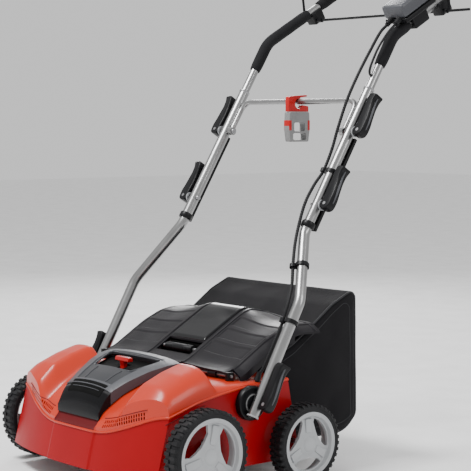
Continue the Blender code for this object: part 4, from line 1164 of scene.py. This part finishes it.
# --------------------------------------------------------------------- handle
ACROSS = Vector((1, 0, 0))
PIVOT = Vector((0, -0.218, 0.169))
LOWER_X = 0.272
FOOT = PIVOT + ACROSS * LOWER_X
UPPER_X = 0.200
TUBE_R = 0.0112
INNER_R = 0.0093
TUBE_WALL = 0.0014
FOAM_R = 0.0130
LOW_BEND = Vector((LOWER_X, -0.109, 0.360))
HIGH_BEND = Vector((UPPER_X, -0.031, 0.487))
MID_SLOPE = Vector((0, 0.182, 0.2935)).normalized()
GRIP_BEND = Vector((UPPER_X, 0.220, 0.892))
TOP_BAR = Vector((UPPER_X, 0.4642, 1.0317))
CLAMP_LOW = 0.066
CLAMP_HIGH = 0.240
BAIL_AXIS = Vector((0, 0.364, 0.950))
LOW_SLOPE = (LOW_BEND - FOOT).normalized()
MID_BACK = Vector((0, MID_SLOPE.z, -MID_SLOPE.y))
GRIP_SLOPE = (TOP_BAR - GRIP_BEND).normalized()
GRIP_RISE = Vector((0, -GRIP_SLOPE.z, GRIP_SLOPE.y))


def mirror(point, sign):
    return Vector((point.x * sign, point.y, point.z))


def mid_point(sign, along, outboard=0.0, back=0.0):
    """A point along a middle tube, from the high bend."""
    point = HIGH_BEND + MID_SLOPE * along + MID_BACK * back
    return Vector(((point.x + outboard) * sign, point.y, point.z))


def grip_point(sign, along, up=0.0):
    """A point along the sloping top part of the upper handle tube."""
    return mirror(GRIP_BEND + GRIP_SLOPE * along + GRIP_RISE * up, sign)


def build_tubes():
    for side, sign in SIDES:
        bends = [mirror(p, sign) for p in (FOOT - LOW_SLOPE * 0.0275, LOW_BEND, HIGH_BEND)]
        path = rounded(bends + [mid_point(sign, 0.0205)], [0.060, 0.044], 14)
        radii = [TUBE_R] * len(path)
        path += [mid_point(sign, 0.0225), mid_point(sign, 0.075), mid_point(sign, 0.130)]
        radii += [INNER_R] * 3
        add_object("tube_low_" + side, sweep(path, radii, TUBE_WALL, 40), "tube",
                   "lower_tube_" + side, sharp=50)
        start = path[0] + LOW_SLOPE * 0.0004
        ring = sweep([start, start + LOW_SLOPE * 0.0030], TUBE_R + 0.0006, 0.0016, 40)
        add_object("tube_end_" + side, ring, "rim", "lower_tube_" + side)
        path = [mid_point(sign, s) for s in (0.025, 0.13, 0.24, 0.345)]
        add_object("tube_mid_" + side, sweep(path, TUBE_R, TUBE_WALL, 40), "tube",
                   "mid_tube_" + side, sharp=50)
        lip = [mid_point(sign, s) for s in (0.3405, 0.3415, 0.3445, 0.3452)]
        bm = sweep(lip, [0.0114, 0.0121, 0.0121, 0.0114], 0.0010, 40)
        add_object("tube_lip_" + side, bm, "steel", "mid_tube_" + side)
    ends = [[mid_point(sign, 0.165), mirror(GRIP_BEND, sign), mirror(TOP_BAR, sign)]
            for _, sign in SIDES]
    path = rounded(ends[0] + ends[1][::-1], [0.070, 0.045, 0.045, 0.070], 14)
    add_object("tube_upper", sweep(path, INNER_R, TUBE_WALL, 36), "tube", "upper_handle_tube",
               sharp=50)


def foam_path(path):
    """Closer points along a foam sleeve and its slightly uneven radius."""
    points = smooth_route(path, 0.005)
    radii = []
    for i, point in enumerate(points):
        ends = min(i, len(points) - 1 - i)
        soft = 0.0014 * (1 - smooth(ends / 1.5))
        radii.append(FOAM_R + 0.00012 * sin(point.y * 160) - soft)
    return points, radii


def build_foam():
    def sleeve(name, path, node):
        points, radii = foam_path(path)
        wall = FOAM_R - INNER_R - 0.0003
        foam = add_object(name, sweep(points, radii, wall, 32), "foam", node, sharp=60)

    for side, sign in SIDES:
        last = grip_point(sign, 0.050 if sign > 0 else 0.143)
        path = rounded([mid_point(sign, 0.402), mirror(GRIP_BEND, sign), last], 0.070)
        sleeve("foam_side_" + side, path, "foam_sleeve_" + side)
    ends = [[grip_point(sign, 0.183), mirror(TOP_BAR, sign)] for _, sign in SIDES]
    sleeve("foam_top", rounded(ends[0] + ends[1][::-1], 0.045), "foam_grip")


def build_crossbar():
    inboard = -0.0182
    ends = [[mid_point(sign, CLAMP_HIGH, inboard), mid_point(sign, 0.3155, inboard)]
            for _, sign in SIDES]
    path = rounded(ends[0] + ends[1][::-1], 0.022)
    bar = add_object("cross_tube", sweep(path, 0.006, sides=32), "tube", "crossbar")
    for _, sign in SIDES:
        eye = [mid_point(sign, CLAMP_HIGH, inboard + d) for d in (-0.0064, 0.0045)]
        boolean(bar, sweep(eye, 0.0090, sides=40), "UNION")
        hole = [mid_point(sign, CLAMP_HIGH, inboard + d) for d in (-0.02, 0.02)]
        boolean(bar, sweep(hole, 0.0033, sides=20))
    shade(bar, 40)


def build_knuckles():
    profile = [(0.2360, 0), (0.2360, 0.0080), (0.2404, 0.0080), (0.2404, 0.0042),
               (0.2454, 0.0042), (0.2454, 0.0332), (0.2462, 0.0340), (0.2550, 0.0340),
               (0.2578, 0.0328), (0.2592, 0.0305), (0.2592, 0.0290), (0.2580, 0.0282),
               (0.2580, 0.0215), (0.2592, 0.0207), (0.2600, 0.0190), (0.2600, 0.0042),
               (0.2852, 0.0042), (0.2852, 0)]
    for side, sign in SIDES:
        bm = lathe(profile, PIVOT, 96, closed=False, flip=sign)
        add_object("knuckle_" + side, bm, "black", "pivot_knuckle_" + side, sharp=30)
        ring = [(0.2598, 0.0193), (0.2606, 0.0186), (0.2606, 0.0168), (0.2598, 0.0161)]
        add_object("knuckle_ring_" + side, lathe(ring, PIVOT, 96, flip=sign), "hook",
                   "pivot_knuckle_" + side)


LEVER_OUTLINE = [(-0.0105, 0.0065), (-0.0098, 0.0190), (-0.0020, 0.0255), (0.0200, 0.0260),
                 (0.0480, 0.0225), (0.0700, 0.0200), (0.0800, 0.0225), (0.0850, 0.0235),
                 (0.0875, 0.0150), (0.0850, 0.0045), (0.0600, 0.0012), (0.0150, 0.0006),
                 (-0.0055, 0.0015)]
LEVER_HALF = 0.0105


def build_lever(tag, node, seat, along, sign):
    """Cam lever: a flared body with a raised spine, its lighter grey a painted highlight along the
    top, and a steel pin with two light caps.
    """
    outward = Vector((sign, 0, 0))
    across_tube = along.cross(outward)
    bm = prism(curved(LEVER_OUTLINE), "z", -LEVER_HALF, LEVER_HALF, 0.0026, 4)
    for vert in bm.verts:
        flare = 1 + 0.16 * smooth((vert.co.x - 0.055) / 0.03)
        waist = 1 - 0.14 * smooth((vert.co.x - 0.012) / 0.02) * smooth((0.070 - vert.co.x) / 0.02)
        vert.co.z *= flare * waist
    frame_to_world(bm, seat, along, outward, across_tube)
    add_object("handle_" + tag, bm, "black", node, sharp=50)
    # The spine is raised, and its lighter grey paints the highlight along the lever's top.
    top = LEVER_OUTLINE[2:7]
    spine = [(x, soft_value(top, x) - 0.0006, 0) for x in spread(0.004, 0.079, 24)]
    bm = sweep(spine, [0.0016 + 0.0012 * sin(pi * i / 24) for i in range(25)], sides=12)
    frame_to_world(bm, seat, along, outward, across_tube)
    add_object("spine_" + tag, bm, "cover", node)
    pin = seat + outward * 0.0125
    ends = [pin + across_tube * d for d in (-LEVER_HALF - 0.0009, LEVER_HALF + 0.0009)]
    add_object("pin_" + tag, sweep(ends, 0.0036), "steel", node)


def build_levers():
    for side, sign in SIDES:
        foot = PIVOT + ACROSS * sign * 0.2857
        build_lever("foot_" + side, "foot_lever_" + side, foot, LOW_SLOPE, sign)
        for where, at in (("lower", CLAMP_LOW), ("upper", CLAMP_HIGH)):
            node = "%s_lever_%s" % (where, side)
            build_lever("%s_%s" % (where, side), node, mid_point(sign, at, 0.0176), MID_SLOPE,
                        sign)
            washer = [mid_point(sign, at, 0.0150), mid_point(sign, at, 0.0168)]
            add_object("washer_%s_%s" % (where, side), sweep(washer, 0.0112, sides=40), "rim",
                       "%s_clamp_bolt_%s" % (where, side))
            show_bolt(where, side, sign, at)


def show_bolt(where, side, sign, at):
    head = 0.0116 if where == "lower" else 0.0249
    reach = [-head - 0.0035, -head - 0.0008, -head, -head, 0.0117, 0.0117, 0.0171]
    radii = [0.0050, 0.0060, 0.0060, 0.0029, 0.0029, 0.0090, 0.0090]
    path = [mid_point(sign, at, r) for r in reach]
    add_object("bolt_%s_%s" % (where, side), sweep(path, radii, sides=36), "steel",
               "%s_clamp_bolt_%s" % (where, side))


def build_rail_details():
    for side, sign in SIDES:
        for k, at in enumerate((0.030, 0.214)):
            dot = [mid_point(sign, at, 0.0042, TUBE_R + d) for d in (0.0080, 0.0095)]
            add_object("rail_screw_%s_%d" % (side, k), sweep(dot, 0.0030, sides=24), "steel",
                       "guide_rail_" + side)
        collar = [mid_point(sign, s) for s in (0.0123, 0.0140, 0.0230, 0.0248)]
        bm = sweep(collar, [0.0138, 0.0147, 0.0147, 0.0138], 0.0022, 40)
        add_object("rail_collar_" + side, bm, "black", "guide_rail_" + side)
        rail = box((-0.0062, -0.0002, -0.109), (0.0062, 0.0076, 0.109), 0.0016)
        frame_to_world(rail, mid_point(sign, 0.123, 0.0042, TUBE_R + 0.0083), ACROSS, -MID_BACK,
                       MID_SLOPE)
        add_object("rail_strip_" + side, rail, "black", "guide_rail_" + side)


# ----------------------------------------------------------------- cable hook
HOOK_X = -0.006


def build_hook():
    bar = HIGH_BEND + MID_SLOPE * 0.3155
    arc = []
    for k in range(28):
        turn = radians(75 + 10 * k)
        arc.append((0.0105 * cos(turn), -0.0042 + 0.0105 * sin(turn)))
    claw = [(-0.029, -0.0215), (-0.029, 0.0080), (-0.0275, 0.0105), (-0.0250, 0.0118),
            (0.0225, 0.0150), (0.0245, 0.0140), (0.0245, 0.0115), (0.0060, 0.0095)]
    claw += arc + [(0.0270, -0.0090), (0.0290, -0.0110), (0.0290, -0.0215)]

    def at_bar(points):
        return [(bar.y + y, bar.z + z) for y, z in points]

    bm = prism(at_bar(claw)[::-1], "x", HOOK_X - 0.006, HOOK_X + 0.006, 0.0009)
    add_object("hook_red", bm, "red_control", "hook_claw", sharp=40)
    frame_line = rounded_outline([(-0.029, -0.0220), (0.029, -0.0220), (0.0305, -0.0600),
                                  (0.0265, -0.0870), (-0.0265, -0.0870), (-0.0305, -0.0600)],
                                 0.004)
    outline = at_bar(frame_line)
    body = add_object("hook_body", prism(outline, "x", HOOK_X - 0.009, HOOK_X + 0.009, 0.0016),
                      "hook", "cable_hook", sharp=40)
    for low, high in (((-0.016, -0.0640), (0.016, -0.0450)), ((-0.019, -0.0830), (0.019, -0.0680))):
        window = rounded_outline([low, (high[0], low[1]), high, (low[0], high[1])], 0.004)
        boolean(body, prism(at_bar(window), "x", HOOK_X - 0.02, HOOK_X + 0.02))
    shade(body, 40)
    for k, y in enumerate((-0.0268, 0.0268)):
        inset = box((HOOK_X - 0.0094, bar.y + y - 0.0034, bar.z - 0.062),
                    (HOOK_X + 0.0094, bar.y + y + 0.0034, bar.z - 0.040), 0.001)
        add_object("hook_inset_%d" % k, inset, "red_control", "cable_hook")


# ------------------------------------------------------- switch box and bail
BOX_START = 0.028
BOX_END = 0.128


def grip_box(centre, half_x, half_y, low, high, bevel):
    bm = box((-half_x, -half_y, low), (half_x, half_y, high), bevel, 4)
    return frame_to_world(bm, centre, ACROSS, GRIP_SLOPE, GRIP_RISE)


def build_switch_box():
    centre = grip_point(1, (BOX_START + BOX_END) / 2, 0.034) - ACROSS * 0.004
    half = (BOX_END - BOX_START) / 2
    run = [grip_point(1, s) for s in (0.0, 0.2)]
    shell = add_object("switch_top", grip_box(centre, 0.031, half, -0.0085, 0.0215, 0.0065),
                       "cover", "switch_box")
    well = grip_point(1, 0.100, 0.055) - ACROSS * 0.010
    boolean(shell, sweep([well - GRIP_RISE * 0.0125, well + GRIP_RISE * 0.01], 0.0075, sides=40))
    base = add_object("switch_base", grip_box(centre, 0.0318, half + 0.0008, -0.0195, -0.0090,
                                              0.003), "black", "switch_box")
    saddle = grip_box(grip_point(1, 0.080, 0.032), 0.017, 0.024, -0.046, -0.012, 0.0035)
    boolean(base, saddle, "UNION")
    boolean(base, sweep(run, INNER_R + 0.0004, sides=36))
    for piece in (shell, base):
        shade(piece, 40)
    for tag, x in (("mains", 0.183), ("short", 0.207)):
        start = grip_point(1, BOX_START + 0.006, 0.026)
        end = grip_point(1, BOX_START - 0.016, 0.021)
        start.x = end.x = x
        shares = spread(0, 1, 36)
        ribs = [0.0066 - 0.0016 * t + 0.0005 * cos(tau * t * 6) for t in shares]
        bm = sweep([start.lerp(end, t) for t in shares], ribs)
        add_object("boot_" + tag, bm, "cable", "switch_box")
    ring = sweep([well - GRIP_RISE * 0.0005, well + GRIP_RISE * 0.0017], 0.0092, 0.0016, 40)
    add_object("lock_ring", ring, "black", "switch_box")


def build_lock_button():
    base = grip_point(1, 0.100, 0.0480) - ACROSS * 0.010
    rises = [0.0, 0.0110, 0.0120, 0.0127, 0.0130]
    radii = [0.0069, 0.0069, 0.0066, 0.0058, 0.0046]
    bm = sweep([base + GRIP_RISE * d for d in rises], radii, sides=36)
    add_object("lock_cap", bm, "red_control", "lock_button")


def build_bail():
    lean = radians(98)
    reach = Vector((0, cos(lean), sin(lean))) * 0.117
    half = 0.2290
    corners = [ACROSS * 0.285, -ACROSS * half, reach - ACROSS * half, reach + ACROSS * half,
               reach * 0.01 + ACROSS * half]
    path = rounded([BAIL_AXIS + c for c in corners], [0.012, 0.020, 0.020], 12)
    add_object("bail_rod", sweep(path, 0.003, sides=24), "black", "start_bail")
    for k, (low, high) in enumerate(((-0.1845, -0.1700), (0.2155, 0.2240))):
        ends = [BAIL_AXIS + ACROSS * x for x in (low, high)]
        add_object("bail_collar_%d" % k, sweep(ends, 0.0052), "black", "start_bail")


def build_bail_blocks():
    for side, sign in SIDES:
        bm = grip_box(grip_point(sign, 0.163), 0.0145, 0.0170, -0.0290, 0.0, 0.003)
        block = add_object("bail_seat_" + side, bm, "black", "bail_block_" + side)
        boolean(block, sweep([grip_point(sign, s) for s in (0.1, 0.23)], INNER_R + 0.0004))
        bore = [BAIL_AXIS + ACROSS * sign * x for x in (0.17, 0.23)]
        boolean(block, sweep(bore, 0.0035))
        shade(block, 40)


# --------------------------------------------------------------------- cables
CABLE_R = 0.0034
CABLE_ROUTE = [(0.1830, 0.2190, 0.9154), (0.1830, 0.1990, 0.8990), (0.1840, 0.1680, 0.8590),
               (0.1840, 0.1340, 0.8100), (0.1840, 0.1030, 0.7580), (0.1830, 0.0780, 0.7000),
               (0.1820, 0.0620, 0.6560), (0.1815, 0.0390, 0.6120), (0.1830, 0.0120, 0.5840),
               (0.1870, -0.0160, 0.5500), (0.1930, -0.0380, 0.5100), (0.2040, -0.0600, 0.4680),
               (0.2210, -0.0810, 0.4280), (0.2400, -0.1010, 0.3900), (0.2525, -0.1220, 0.3560),
               (0.2535, -0.1380, 0.3200), (0.2530, -0.1540, 0.2900), (0.2505, -0.1680, 0.2600),
               (0.2455, -0.1800, 0.2330), (0.2390, -0.1885, 0.2170), (0.2375, -0.1915, 0.2046)]
SHORT_ROUTE = [(0.2070, 0.2190, 0.9154), (0.2068, 0.1990, 0.8990), (0.2045, 0.1740, 0.8680),
               (0.2015, 0.1620, 0.8440), (0.2000, 0.1555, 0.8290), (0.2000, 0.1515, 0.8175),
               (0.2000, 0.1530, 0.8100), (0.2000, 0.1595, 0.8062)]


def build_cables():
    """The mains lead in three fixed spans, each laid over one joint of the handle."""
    route = smooth_route(CABLE_ROUTE, 0.0045)
    spans = (("top", "upper_handle", "mid_handle", 0, 6, 2, 6),
             ("middle", "mid_handle", "lower_handle", 6, 13, 7, 11),
             ("low", "lower_handle", "chassis", 13, 20, 16, 19))
    for tag, above, below, first, last, start, end in spans:
        high = CABLE_ROUTE[first][2] + 1e-6
        low = CABLE_ROUTE[last][2]
        points = [Vector(CABLE_ROUTE[first])]
        points += [p for p in route if low + 0.0015 < p.z < high - 0.0015]
        points.append(Vector(CABLE_ROUTE[last]))
        points = even_points(points, int((high - low) / 0.0011))
        ribs = [CABLE_R + 0.0001 * (1 if i % 4 < 2 else -3) for i in range(len(points))]
        span = add_object("lead_" + tag, sweep(points, ribs, sides=16), "cable", "power_cable",
                          rides=False)
        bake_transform(span)
    points = smooth_route(SHORT_ROUTE, 0.003)
    add_object("lead_switch", sweep(points, 0.0026, sides=18), "cable", "switch_lead")
    boss = [(0.2404, -0.1857, 0.2250), (0.2392, -0.1880, 0.2150), (0.2380, -0.1903, 0.2080)]
    add_object("lead_grommet", sweep(boss[::-1], [0.0072, 0.0056, 0.0046], 0.0010, 28), "cable",
               "upper_housing")


def build_clip(tag, tube_point, slope):
    route = smooth_route(CABLE_ROUTE, 0.002)
    cable_point = min(route, key=lambda p: abs((p - tube_point).dot(slope)))
    half = slope * 0.004
    clip = add_object("loop_" + tag, sweep([tube_point - half, tube_point + half], TUBE_R + 0.0030,
                                           sides=48), "black", "cable_clip_" + tag)
    boolean(clip, sweep([cable_point - half, cable_point + half], CABLE_R + 0.0036, sides=36),
            "UNION")
    reach = slope * 0.02
    boolean(clip, sweep([tube_point - reach, tube_point + reach], TUBE_R + 0.0006, sides=48))
    boolean(clip, sweep([cable_point - reach, cable_point + reach], CABLE_R + 0.0015, sides=36))
    shade(clip, 40)
    return clip


def build_clips():
    leg = (HIGH_BEND - LOW_BEND).normalized()
    top = build_clip("top", mid_point(1, 0.1425), MID_SLOPE)
    gap = box((-0.03, 0.0100, -0.02), (0.03, 0.03, 0.02))
    frame_to_world(gap, mid_point(1, 0.1425), ACROSS, MID_BACK, -MID_SLOPE)
    boolean(top, gap)
    build_clip("middle", LOW_BEND + leg * 0.0850, leg)
    build_clip("bottom", FOOT + LOW_SLOPE * 0.1750, LOW_SLOPE)


# --------------------------------------------------- pieces kept from the CAD
def dress_cad():
    """Surfaces for the CAD pieces that are shown as they are."""
    # The handle well and the flap's recess tray take the near-black of painted shade.
    looks = {
        "handle_well": "hollow_shade", "electric_motor": "motor", "motor_pulley": "steel",
        "blade_rotor": "steel", "drive_belt": "cable", "front_axle": "steel",
        "rear_axle": "steel", "flap_recess_tray": "hollow_shade", "flap_pin": "steel",
    }
    for name, look in looks.items():
        obj = NODES[name]
        obj.data.materials.clear()
        obj.data.materials.append(MATERIALS[look])
        shade(obj, 38)
        round_edges(obj, 0.0003)


# ----------------------------------------------------------------------- main
MATERIALS = make_materials()
build_camera()
build_floor()
build_lights()
build_housing()
build_flange()
build_step_shade()
build_motor_cover()
build_cover_lip()
build_brow_shade()
build_depth_lever()
build_wheels()
build_rear_flap()
build_flap_grip()
build_bag()
build_tubes()
build_foam()
build_crossbar()
build_knuckles()
build_levers()
build_rail_details()
build_hook()
build_switch_box()
build_lock_button()
build_bail()
build_bail_blocks()
build_cables()
build_clips()
dress_cad()
